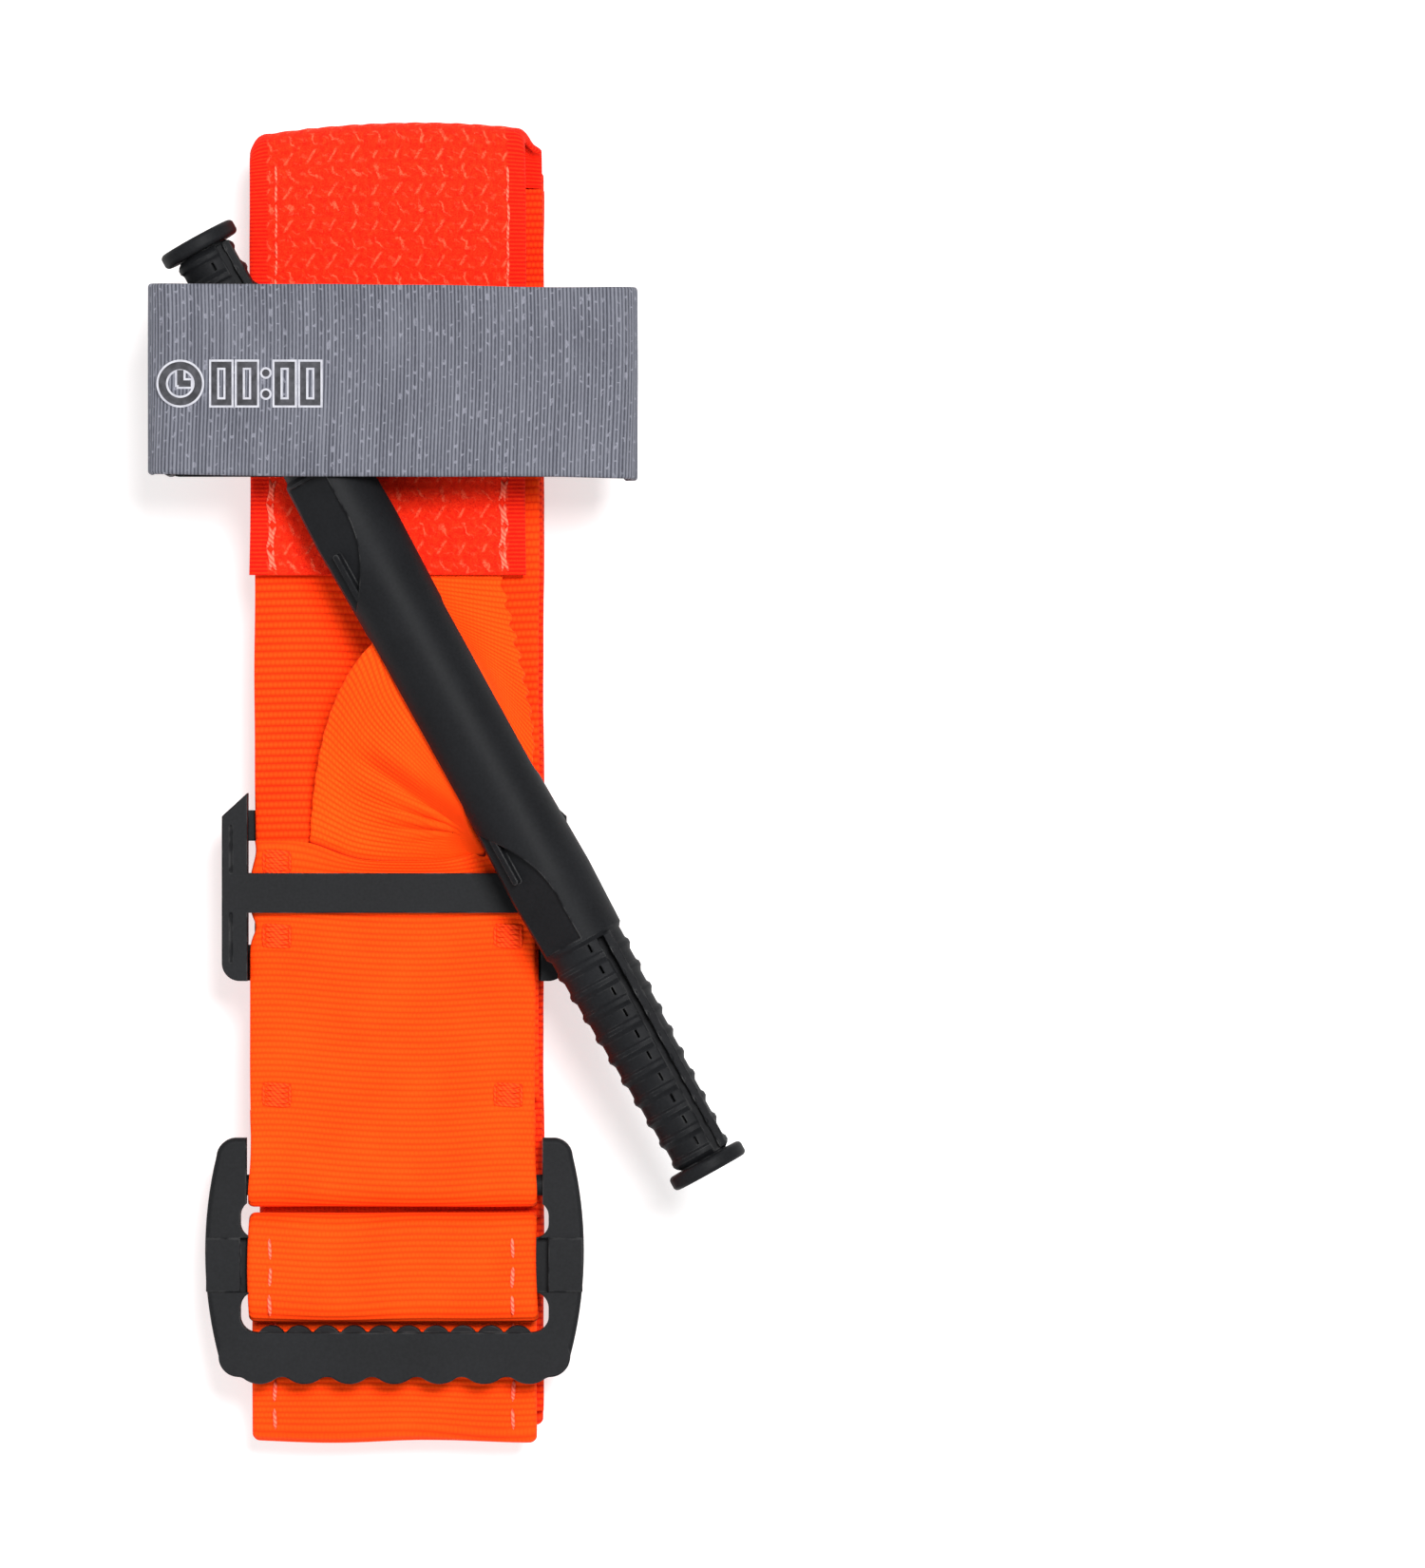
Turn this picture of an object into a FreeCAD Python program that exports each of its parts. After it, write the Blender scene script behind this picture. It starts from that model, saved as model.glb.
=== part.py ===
import FreeCAD, Part
import math
import os

from FreeCAD import Placement, Rotation, Vector

# A windlass tourniquet folded flat for carry. Y runs along the folded band, Z points up
# through the stack of layers, and z = 0 is the underside of the lowest layer.

SIZES = {
    # webbing and the stack of layers
    "band_width": 38.0,
    "band_lean": 0.8,
    "layer_gap": 0.2,
    "band_thick": 2.0,
    "backing_thick": 1.2,
    "inner_width": 25.0,
    "inner_thick": 0.8,
    "top_fold_end": 88.4,
    "tail_fold_end": 88.4,
    "sleeve_mouth": 8.6,
    "pile_edge": 27.8,
    # base plate and clip
    "plate_thick": 1.6,
    "plate_half": 23.0,
    "plate_window": 19.6,
    "plate_low": 26.4,
    "plate_high": 3.6,
    "bar_low": 17.3,
    "bar_high": 12.0,
    "moulding_top": 18.0,
    "clip_middle": 53.4,
    "clip_length": 25.0,
    "clip_half": 30.6,
    "clip_wall": 1.6,
    "clip_height": 29.6,
    # windlass rod
    "rod_length": 142.0,
    "rod_radius": 5.7,
    "rod_tilt": 28.9,
    "rod_x": 8.0,
    "rod_y": 10.4,
    "rod_height": 24.3,
    "slot_length": 27.0,
    "slot_opening": 3.0,
    "rib_pitch": 3.24,
    "rib_width": 1.3,
    "grip_start": 35.8,
    "panel_depth": 1.25,
    # routing buckle
    "buckle_half": 25.3,
    "buckle_base": 11.4,
    "buckle_thick": 4.6,
    "pivot_y": 53.7,
    "pivot_height": 13.9,
    "pivot_radius": 1.4,
    # time strap
    "strap_width": 25.4,
    "strap_thick": 0.9,
    "strap_half": 32.5,
    "strap_top": 31.5,
    "strap_hinge_height": 17.2,
}

doc = FreeCAD.newDocument("Tourniquet")
sheet = doc.addObject("Spreadsheet::Sheet", "Sizes")
for row, (alias, value) in enumerate(SIZES.items(), start=1):
    sheet.set(f"A{row}", alias)
    sheet.set(f"B{row}", str(value))
    sheet.setAlias(f"B{row}", alias)
doc.recompute()

subparts = []


def size(alias):
    return float(sheet.get(alias))


def cell(alias):
    return f"Sizes.{alias}"


# Heights of the layers, from the floor up.
step = size("band_thick") + size("layer_gap")
LAYER_Z = [size("band_thick") / 2 + step * level for level in range(5)]
REAR_RUN_Z = LAYER_Z[4]
PLATE_Z = REAR_RUN_Z + size("band_thick") / 2 + size("layer_gap")
BACKING_Z = PLATE_Z + size("plate_thick") + size("layer_gap") + size("backing_thick") / 2
INNER_Z = BACKING_Z + size("backing_thick") / 2 + 0.15 + size("inner_thick") / 2
FRONT_Z = INNER_Z + size("inner_thick") / 2 + 0.15 + size("backing_thick") / 2
FRONT_TOP = FRONT_Z + size("backing_thick") / 2
FOLD_RADIUS = step / 2
BAND_HALF = size("band_width") / 2


# ---------------------------------------------------------------- profiles


def line(start, end):
    return Part.LineSegment(Vector(*start, 0), Vector(*end, 0))


def arc(start, middle, end):
    return Part.Arc(Vector(*start, 0), Vector(*middle, 0), Vector(*end, 0))


def polygon(points):
    return [line(a, b) for a, b in zip(points, points[1:] + points[:1])]


def rectangle(low_u, low_v, high_u, high_v):
    return polygon([(low_u, low_v), (high_u, low_v), (high_u, high_v), (low_u, high_v)])


def rounded(low_u, low_v, high_u, high_v, radius):
    """A rectangle with round corners."""
    r = radius
    k = radius * (1 - math.sqrt(0.5))
    return [
        line((low_u + r, low_v), (high_u - r, low_v)),
        arc((high_u - r, low_v), (high_u - k, low_v + k), (high_u, low_v + r)),
        line((high_u, low_v + r), (high_u, high_v - r)),
        arc((high_u, high_v - r), (high_u - k, high_v - k), (high_u - r, high_v)),
        line((high_u - r, high_v), (low_u + r, high_v)),
        arc((low_u + r, high_v), (low_u + k, high_v - k), (low_u, high_v - r)),
        line((low_u, high_v - r), (low_u, low_v + r)),
        arc((low_u, low_v + r), (low_u + k, low_v + k), (low_u + r, low_v)),
    ]


def stadium(middle_u, middle_v, length, width):
    """A slot with round ends, its length along u."""
    flat = (length - width) / 2
    r = width / 2
    return [
        line((middle_u - flat, middle_v - r), (middle_u + flat, middle_v - r)),
        arc(
            (middle_u + flat, middle_v - r),
            (middle_u + flat + r, middle_v),
            (middle_u + flat, middle_v + r),
        ),
        line((middle_u + flat, middle_v + r), (middle_u - flat, middle_v + r)),
        arc(
            (middle_u - flat, middle_v + r),
            (middle_u - flat - r, middle_v),
            (middle_u - flat, middle_v - r),
        ),
    ]


class Strip:
    """The side view of a piece of webbing: straight runs joined by tangent bends."""

    def __init__(self, start, heading_deg):
        self.point = Vector(*start, 0)
        self.heading = math.radians(heading_deg)
        self.parts = []

    def side(self):
        return Vector(-math.sin(self.heading), math.cos(self.heading), 0)

    def run(self, length):
        ahead = Vector(math.cos(self.heading), math.sin(self.heading), 0)
        self.parts.append(("run", self.point, self.point + ahead * length, self.side()))
        self.point = self.point + ahead * length
        return self

    def bend(self, radius, degrees):
        """Turn by degrees, to the left when positive, about a centre radius away."""
        turn = 1 if degrees > 0 else -1
        centre = self.point + self.side() * radius * turn
        first = self.side() * -turn
        half = FreeCAD.Rotation(Vector(0, 0, 1), degrees / 2).multVec(first)
        last = FreeCAD.Rotation(Vector(0, 0, 1), degrees).multVec(first)
        self.parts.append(("bend", centre, radius, turn, first, half, last))
        self.heading += math.radians(degrees)
        self.point = centre + last * radius
        return self

    def shift(self, length, sideways):
        """An S-bend that moves the strip sideways, to the left when positive."""
        angle = 2 * math.atan2(abs(sideways), length)
        radius = length / (2 * math.sin(angle))
        turn = math.copysign(math.degrees(angle), sideways)
        return self.bend(radius, turn).bend(radius, -turn)

    def edge(self, offset):
        """The curves of the line that runs offset to the left of the centre line."""
        found = []
        for kind, *rest in self.parts:
            if kind == "run":
                start, end, side = rest
                found.append(Part.LineSegment(start + side * offset, end + side * offset))
            else:
                centre, radius, turn, first, half, last = rest
                r = radius - turn * offset
                found.append(Part.Arc(centre + first * r, centre + half * r, centre + last * r))
        return found

    def outline(self, thickness):
        left = self.edge(thickness / 2)
        right = self.edge(-thickness / 2)
        caps = [
            Part.LineSegment(left[0].StartPoint, right[0].StartPoint),
            Part.LineSegment(left[-1].EndPoint, right[-1].EndPoint),
        ]
        return left + right + caps


# ---------------------------------------------------------------- features


def keep(item, label):
    item.Label = label
    subparts.append(item)
    return item


def new_body(label):
    return keep(doc.addObject("PartDesign::Body", "Body"), label)


def sketch_on(body, role, curves, offset=0.0, turn=None, name="Profile"):
    """A sketch on one of the body's origin planes, offset along that plane's normal."""
    sketch = body.newObject("Sketcher::SketchObject", name)
    plane = next(f for f in body.Origin.OriginFeatures if f.Role == role)
    sketch.AttachmentSupport = [(plane, "")]
    sketch.MapMode = "FlatFace"
    spin = turn or Rotation()
    sketch.AttachmentOffset = Placement(spin.multVec(Vector(0, 0, offset)), spin)
    for curve in curves:
        sketch.addGeometry(curve, False)
    return sketch


def pad(body, sketch, length, symmetric=False, reverse=False):
    """Pad a sketch; length is a number or the alias of a cell."""
    feature = body.newObject("PartDesign::Pad", "Pad")
    feature.Profile = sketch
    feature.SideType = "Symmetric" if symmetric else "One side"
    feature.Reversed = reverse
    if isinstance(length, str):
        feature.setExpression("Length", length)
    else:
        feature.Length = length
    sketch.Visibility = False
    return feature


def pocket(body, sketch, length, symmetric=False, reverse=False):
    feature = body.newObject("PartDesign::Pocket", "Pocket")
    feature.Profile = sketch
    feature.Type = "Length"
    feature.SideType = "Symmetric" if symmetric else "One side"
    feature.Reversed = reverse
    feature.Length = length
    doc.recompute()
    before = feature.BaseFeature.Shape.Volume
    if feature.Shape.Volume > before - 0.01:
        raise RuntimeError(f"{body.Label}: a pocket cuts nothing")
    return feature


def webbing(label, strip, thickness, width=cell("band_width"), middle_x=0.0):
    """A strip of webbing: its side view in the YZ plane, padded to its width."""
    body = new_body(label)
    pad(body, sketch_on(body, "YZ_Plane", strip.outline(thickness), middle_x), width, True)
    return body


def slab(body, plane_z, thickness, curves):
    """A flat layer of a moulding, from plane_z up."""
    return pad(body, sketch_on(body, "XY_Plane", curves, plane_z), thickness)


def box(length, width, height, corner, label):
    item = doc.addObject("Part::Box", label)
    item.Length = length
    item.Width = width
    item.Height = height
    item.Placement = Placement(Vector(*corner), Rotation())
    return item


def group(label, members):
    """Small equal solids kept together as one sub-part."""
    compound = doc.addObject("Part::Compound", label)
    compound.Links = members
    return keep(compound, label)


# ---------------------------------------------------------------- base plate


def base_plate():
    """The plate under the band, its side frames and crossbar, and the clip for the rod."""
    body = new_body("base_plate")
    half, window = size("plate_half"), size("plate_window")
    low, high = -size("plate_low"), -size("plate_high")
    top = size("moulding_top")
    clip_low = size("clip_middle") - size("clip_length") / 2
    clip_high = clip_low + size("clip_length")
    clip_half, wall = size("clip_half"), size("clip_wall")
    spine_half = BAND_HALF - 1.5

    spine = rounded(-spine_half, low + 1.5, spine_half, clip_high - 1.0, 1.5)
    slab(body, PLATE_Z, cell("plate_thick"), spine)
    frames = rounded(-half, low, half, high, 2.4)
    slab(body, PLATE_Z, top - PLATE_Z, frames)
    peak = high + 2.3
    for side in (-1, 1):
        slope = [
            (side * half, low + 6),
            (side * half, high - 0.8),
            (side * window, peak),
            (side * window, low + 6),
        ]
        slab(body, PLATE_Z, top - PLATE_Z, polygon(slope))
    window_low, window_high = low - 1, peak + 1
    channel = rectangle(-window, BACKING_Z - size("backing_thick") / 2 - 0.2, window, top + 5)
    pocket(
        body,
        sketch_on(body, "XZ_Plane", channel, -(window_low + window_high) / 2),
        window_high - window_low,
        symmetric=True,
    )
    # openings through the plate beside the band, on both sides of the crossbar
    opening_width, opening_length = 1.0, 4.3
    for side in (-1, 1):
        u = sorted((side * window, side * (window - opening_width)))
        for edge in (-size("bar_high"), -size("bar_low") - opening_length):
            opening = rectangle(u[0], edge, u[1], edge + opening_length)
            pocket(body, sketch_on(body, "XY_Plane", opening, PLATE_Z - 1), 4.0, reverse=True)
    groove_inner, groove_outer, groove_depth = 21.6, 21.95, 0.35
    for side in (-1, 1):
        u = sorted((side * groove_inner, side * groove_outer))
        groove = rectangle(u[0], low + 2.5, u[1], high - 2.0)
        pocket(body, sketch_on(body, "XY_Plane", groove, top), groove_depth)
    bar_base = FRONT_TOP + 0.2
    bar_thick = top - bar_base
    bar = rectangle(-half + 1, -size("bar_low"), half - 1, -size("bar_high"))
    slab(body, bar_base, bar_thick, bar)

    lug = rounded(-clip_half, clip_low + 4, clip_half, clip_high - 4, 1.5)
    slab(body, PLATE_Z, cell("plate_thick"), lug)
    floor = rounded(-clip_half, clip_low, clip_half, clip_high, 2.0)
    slab(body, bar_base, bar_thick, floor)
    lip_reach, lip_length, lip_thick = 2.4, 11.0, 1.6
    for side in (-1, 1):
        u = sorted((side * (window + 0.8), side * (window + 3.8)))
        slab(body, PLATE_Z, top - PLATE_Z, rectangle(u[0], clip_low + 5, u[1], clip_high - 5))
        u = sorted((side * clip_half, side * (clip_half - wall)))
        height = size("clip_height") - bar_base
        slab(body, bar_base, height, rounded(u[0], clip_low, u[1], clip_high, 0.7))
        u = sorted((side * (clip_half - 0.2), side * (clip_half - wall - lip_reach)))
        lip = rounded(u[0], clip_low + 2, u[1], clip_low + 2 + lip_length, 0.9)
        slab(body, size("clip_height") - lip_thick, lip_thick, lip)


def clip_pads():
    """Hook tape on the outside of the clip's walls, where the time strap holds."""
    span, height, thick, foot = size("strap_width") - 5, 5.0, 0.4, 23.6
    for name, x in (("left", -size("clip_half") - thick), ("right", size("clip_half"))):
        corner = (x, size("clip_middle") - span / 2, foot)
        keep(box(thick, span, height, corner, f"pad_{name}"), f"clip_hook_pad_{name}")


# ---------------------------------------------------------------- windlass rod


def rod_placement():
    turn = Rotation(Vector(0, 0, 1), size("rod_tilt"))
    return Placement(Vector(size("rod_x"), size("rod_y"), size("rod_height")), turn)


def windlass_rod():
    """The rod lies along its own Y: smooth middle, ribbed grips, a flange at each end."""
    body = new_body("windlass_rod")
    half, radius = size("rod_length") / 2, size("rod_radius")
    pitch, rib = size("rib_pitch"), size("rib_width")
    grip_start, panel_depth = size("grip_start"), size("panel_depth")
    flange_radius, flange_thick, rounding = 5.4, 2.0, 0.6
    ribs = 10

    def rib_radius(y):
        return radius - 0.15 - (y - grip_start) * 1.55 / (half - grip_start)

    # the curves of one end, from the middle of the rod outwards; the other end mirrors them
    waist = radius - 0.1
    shoulder = (radius + 0.15, grip_start - 9)
    here = (waist, grip_start)
    runs = [
        ((waist, 14.5), shoulder),
        (shoulder, here),
    ]
    for index in range(ribs):
        y = grip_start + 0.3 + index * pitch
        valley = rib_radius(y) - 0.42
        crown = rib_radius(y + pitch)
        rise = (crown - 0.25, y + pitch - rib)
        top = (crown - 0.25, y + pitch)
        runs += [
            (here, (valley, y + 0.35)),
            ((valley, y + 0.35), (valley, y + pitch - rib - 0.25)),
            ((valley, y + pitch - rib - 0.25), rise),
            (rise, (crown, y + pitch - rib * 0.7)),
            ((crown, y + pitch - rib * 0.7), (crown, y + pitch - rib * 0.3)),
            ((crown, y + pitch - rib * 0.3), top),
        ]
        here = top
    flange = half - flange_thick
    neck = (here[0] - 0.6, flange)
    k = rounding * (1 - math.sqrt(0.5))
    lip = flange_radius - rounding
    runs += [
        (here, neck),
        (neck, (lip, flange)),
        ((lip, flange), (flange_radius - k, flange + k), (flange_radius, flange + rounding)),
        ((flange_radius, flange + rounding), (flange_radius, half - rounding)),
        ((flange_radius, half - rounding), (flange_radius - k, half - k), (lip, half)),
        ((lip, half), (0.0, half)),
    ]
    curves = []
    for end in (-1, 1):
        for run in runs:
            points = [(u, v * end) for u, v in run]
            curves.append(arc(*points) if len(points) == 3 else line(*points))
    curves.append(line((waist, -14.5), (waist, 14.5)))
    curves.append(line((0.0, -half), (0.0, half)))
    sketch = sketch_on(body, "XY_Plane", curves)
    turned = body.newObject("PartDesign::Revolution", "Turned")
    turned.Profile = sketch
    turned.ReferenceAxis = (sketch, ["V_Axis"])
    turned.Angle = 360
    doc.recompute()

    slot = stadium(0.0, 0.0, size("slot_length"), size("slot_opening"))
    pocket(body, sketch_on(body, "YZ_Plane", slot), 20.0, symmetric=True)

    facing = Rotation(Vector(0, 1, 0), -33)
    for end in (-1, 1):
        tip, wide, far = 17.0 * end, 30.0 * end, (grip_start - 0.4) * end
        panel = [
            arc((-3.4, tip), (1.6, tip + 5.5 * end), (3.0, wide)),
            line((3.0, wide), (3.0, far)),
            line((3.0, far), (-6.0, far)),
            line((-6.0, far), (-6.0, tip)),
            line((-6.0, tip), (-3.4, tip)),
        ]
        face = sketch_on(body, "XY_Plane", panel, radius - panel_depth, facing)
        pocket(body, face, 4.0, reverse=True)
        fin_low, fin_high = sorted((18.0 * end, 25.0 * end))
        fin = rounded(-1.95, fin_low, -1.05, fin_high, 0.4)
        fin_foot = radius - panel_depth - 0.3
        pad(body, sketch_on(body, "XY_Plane", fin, fin_foot, facing), panel_depth)
        # a rail and a deep groove run along each grip, with a fine line in each cell
        near, far = (grip_start + 0.6) * end, (flange - 0.4) * end
        rail = polygon([(near, 2.0), (far, 1.2), (far, 2.75), (near, 4.55)])
        pad(body, sketch_on(body, "YZ_Plane", rail, 2.75), 1.0)
        groove = rectangle(1.75, min(near, far), 2.7, max(near, far))
        pocket(body, sketch_on(body, "XY_Plane", groove, 2.3), 6.0, reverse=True)
        cells = []
        for index in range(ribs):
            y = (grip_start + 0.75 + index * pitch) * end
            y_far = y + (pitch - rib - 0.8) * end
            cells += rectangle(0.2, min(y, y_far), 0.5, max(y, y_far))
        pocket(body, sketch_on(body, "XY_Plane", cells, 2.9), 6.0, reverse=True)
    body.Placement = rod_placement()


# ---------------------------------------------------------------- inner band


def lofted(label, lower, upper):
    """A ruled piece of webbing between two rectangles, each a list of four corners."""
    item = doc.addObject("Part::Feature", label)
    wires = [Part.makePolygon(section + section[:1]) for section in (lower, upper)]
    item.Shape = Part.makeLoft(wires, True, True)
    return keep(item, label)


def section(middle, along, thick_way, width, thickness):
    a = along * (width / 2)
    b = thick_way * (thickness / 2)
    return [middle - a - b, middle + a - b, middle + a + b, middle - a + b]


def inner_band():
    """The narrow band: hidden stretches in the sleeve, and the two legs to the rod's slot."""
    width, thick = size("inner_width"), size("inner_thick")
    mouth, pile = -size("sleeve_mouth"), size("pile_edge")
    middle_x, lower_length, upper_length = 1.0, 30.0, 51.0
    broad = cell("inner_width")
    lower = Strip((mouth, INNER_Z), 180).run(lower_length)
    webbing("inner_band_lower", lower, thick, broad, middle_x)
    upper = Strip((pile, INNER_Z), 0).run(upper_length)
    webbing("inner_band_upper", upper, thick, broad, middle_x)
    place = rod_placement()
    along = place.Rotation.multVec(Vector(0, -1, 0))
    out = place.Rotation.multVec(Vector(1, 0, 0))
    reach = size("rod_radius") + 0.9
    up = Vector(0, 0, 1)
    across = Vector(1, 0, 0)
    lofted(
        "inner_band_lower_leg",
        section(Vector(middle_x, mouth + 0.2, INNER_Z), across, Vector(0, 0.35, 0.94), width, thick),
        section(place.Base - out * reach, along, up, width, thick),
    )
    lofted(
        "inner_band_upper_leg",
        section(Vector(middle_x, pile - 0.2, INNER_Z), across, Vector(0, -0.35, 0.94), width, thick),
        section(place.Base + out * reach, along, up, width, thick),
    )
    slot_pass = new_body("inner_band_slot_pass")
    strip = rectangle(-reach + 0.5, -thick / 2, reach - 0.5, thick / 2)
    pad(slot_pass, sketch_on(slot_pass, "XZ_Plane", strip), broad, True)
    slot_pass.Placement = rod_placement()


# ---------------------------------------------------------------- main band


def main_band():
    thick, single = size("band_thick"), size("backing_thick")
    lean = size("band_lean")
    mouth, pile = -size("sleeve_mouth"), size("pile_edge")
    outer = FRONT_TOP - 0.1
    fold_top = (outer + REAR_RUN_Z - thick / 2) / 2
    fold_radius = (outer - REAR_RUN_Z) / 2 - thick / 4
    fold_y = size("top_fold_end") - fold_radius - thick / 2
    fold_start = fold_y - 5
    fold = Strip((fold_start, fold_top + fold_radius), 0).run(5).bend(fold_radius, -180).run(5)
    webbing("band_top_fold", fold, thick)
    webbing(
        "pile_tape_front",
        Strip((pile, FRONT_Z), 0).run(fold_start - 0.2 - pile),
        single,
    )
    backing = Strip((fold_start - 0.2, BACKING_Z), 180).run(fold_start + 41.8)
    webbing("band_backing", backing, single, middle_x=0.3)
    rear = Strip((fold_start - 0.2, REAR_RUN_Z), 180).run(fold_start + 58.0)
    webbing("band_rear_run", rear, thick, middle_x=lean)

    pivot_y, pivot_z = -size("pivot_y"), size("pivot_height")
    ring = size("pivot_radius") + 0.3 + single / 2
    sleeve_end = -43.0
    drop = pivot_z + ring - FRONT_Z
    loop = Strip((sleeve_end, FRONT_Z), 180)
    loop.shift(7.0, -drop).run(abs(pivot_y - sleeve_end) - 7.0).bend(ring, 180)
    loop.run(3.0).shift(7.0, BACKING_Z - (pivot_z - ring))
    webbing("band_buckle_loop", loop, single)
    webbing(
        "sleeve_front",
        Strip((mouth - 3.9, FRONT_Z), 180).run(mouth - 3.9 - sleeve_end - 0.2),
        single,
    )
    webbing("sleeve_hem", Strip((mouth, FRONT_Z), 180).run(3.7), single)

    wrap_thick = 1.5
    wrap_top = 15.5
    rise = Strip((-58.2, 11.9), 90).run(wrap_top - 2.0 - 11.9).bend(2.0, 90).run(9.0)
    rise.bend(2.0, 90).run(wrap_top - 2.0 - 11.9)
    webbing("band_buckle_wrap", rise, wrap_thick)

    tail_start = -70.0
    tail_turn = -(size("tail_fold_end") - FOLD_RADIUS - thick / 2)
    tail = Strip((tail_start, REAR_RUN_Z), 180).run(tail_start - tail_turn)
    tail.bend(FOLD_RADIUS, 180).run(2.0)
    webbing("band_tail", tail, thick)

    inner_start, inner_turn, turn_y = tail_turn + 2.2, 80.0, -84.0
    inner = Strip((inner_start, LAYER_Z[3]), 0).run(inner_turn - inner_start)
    inner.bend(FOLD_RADIUS, -180).run(inner_turn - turn_y)
    webbing("free_end_inner_layers", inner, thick, middle_x=lean)
    hinge_fold = Strip((turn_y, LAYER_Z[2]), 180).bend(FOLD_RADIUS, 180)
    webbing("free_end_hinge_fold", hinge_fold, thick, middle_x=lean)
    outer_start, upper_run, lower_run, tip_run = turn_y + 0.1, 162.0, 126.0, 14.0
    outer_layers = Strip((outer_start, LAYER_Z[1]), 0).run(upper_run)
    outer_layers.bend(FOLD_RADIUS, -180).run(lower_run)
    webbing("free_end_outer_layers", outer_layers, thick, middle_x=lean)
    tip = Strip((outer_start + upper_run - lower_run - 0.2, LAYER_Z[0]), 180).run(tip_run)
    webbing("free_end_tip", tip, thick, middle_x=lean)


# ---------------------------------------------------------------- routing buckle


def routing_buckle():
    """A three-bar buckle: pivot bar, centre bar and a scalloped lower bar with teeth."""
    body = new_body("routing_buckle")
    half, base, thick = size("buckle_half"), size("buckle_base"), size("buckle_thick")
    top_y, side_y, low_y = -47.4, -63.5, -79.3
    corner_x, low_x = 21.4, 21.0
    shoulder_bend, shoulder = (23.0, -48.1), (23.8, -49.8)
    hip, hip_bend = (23.5, -76.6), (22.9, -78.3)
    lobes = 7
    lobe = 2 * low_x / lobes
    dip_y, flank_y, crest_y = low_y - 0.06, low_y - 0.24, low_y - 0.95
    outline = [
        line((-corner_x, top_y), (corner_x, top_y)),
        arc((corner_x, top_y), shoulder_bend, shoulder),
        arc(shoulder, (half, side_y), hip),
        arc(hip, hip_bend, (low_x, low_y)),
    ]
    for index in range(lobes):
        right = low_x - index * lobe
        flank, crest, far_flank = right - 0.15 * lobe, right - 0.5 * lobe, right - 0.85 * lobe
        dip, far_dip = right - 0.08 * lobe, right - 0.92 * lobe
        outline += [
            arc((right, low_y), (dip, dip_y), (flank, flank_y)),
            arc((flank, flank_y), (crest, crest_y), (far_flank, flank_y)),
            arc((far_flank, flank_y), (far_dip, dip_y), (right - lobe, low_y)),
        ]
    outline += [
        arc((-low_x, low_y), (-hip_bend[0], hip_bend[1]), (-hip[0], hip[1])),
        arc((-hip[0], hip[1]), (-half, side_y), (-shoulder[0], shoulder[1])),
        arc((-shoulder[0], shoulder[1]), (-shoulder_bend[0], shoulder_bend[1]), (-corner_x, top_y)),
    ]
    blank = slab(body, base, cell("buckle_thick"), outline)
    doc.recompute()
    rim = []
    for number, edge in enumerate(blank.Shape.Edges, start=1):
        reach = edge.BoundBox
        if abs(reach.ZMin - base - thick) < 1e-6 and reach.YMax > hip[1] + 1:
            rim.append(f"Edge{number}")
    rounding = body.newObject("PartDesign::Fillet", "RoundedRim")
    rounding.Base = (blank, rim)
    rounding.Radius = 0.7
    doc.recompute()

    # the centre bar lies between the two windows, lower than the arms
    window_half, bar_high, bar_low, bar_top = 20.6, -60.8, -67.9, 14.5
    neck_half, neck_y = 19.8, -55.8
    first = rounded(-window_half, bar_high, window_half, neck_y, 2.0)
    pocket(body, sketch_on(body, "XY_Plane", first, base - 1), thick + 2, reverse=True)
    neck = rectangle(-neck_half, neck_y - 0.5, neck_half, top_y + 3)
    pocket(body, sketch_on(body, "XY_Plane", neck, base - 1), thick + 2, reverse=True)
    second = rounded(-window_half, -73.4, window_half, bar_low, 2.2)
    pocket(body, sketch_on(body, "XY_Plane", second, base - 1), thick + 2, reverse=True)
    low_step = rectangle(-window_half, bar_low - 0.1, window_half, bar_high + 0.1)
    pocket(body, sketch_on(body, "XY_Plane", low_step, bar_top), thick, reverse=True)
    pivot = Vector(-size("pivot_y"), size("pivot_height"), 0)
    round_bar = [Part.Circle(pivot, Vector(0, 0, 1), size("pivot_radius"))]
    pad(body, sketch_on(body, "YZ_Plane", round_bar), 2 * window_half + 2, symmetric=True)
    for side in (-1, 1):
        u = sorted((side * window_half, side * (half - 0.15)))
        raised = rectangle(u[0], bar_low, u[1], bar_high)
        slab(body, base + thick - 0.5, 0.9, raised)
    teeth, tooth_pitch, tooth_half, tooth_height = 10, 3.66, 1.8, 3.2
    root_y, tip_y = -73.6, -72.5
    for index in range(teeth):
        x = (index - (teeth - 1) / 2) * tooth_pitch
        tooth = [
            arc((x - tooth_half, root_y), (x, tip_y), (x + tooth_half, root_y)),
            line((x + tooth_half, root_y), (x - tooth_half, root_y)),
        ]
        slab(body, base, tooth_height, tooth)


# ---------------------------------------------------------------- time strap


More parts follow.
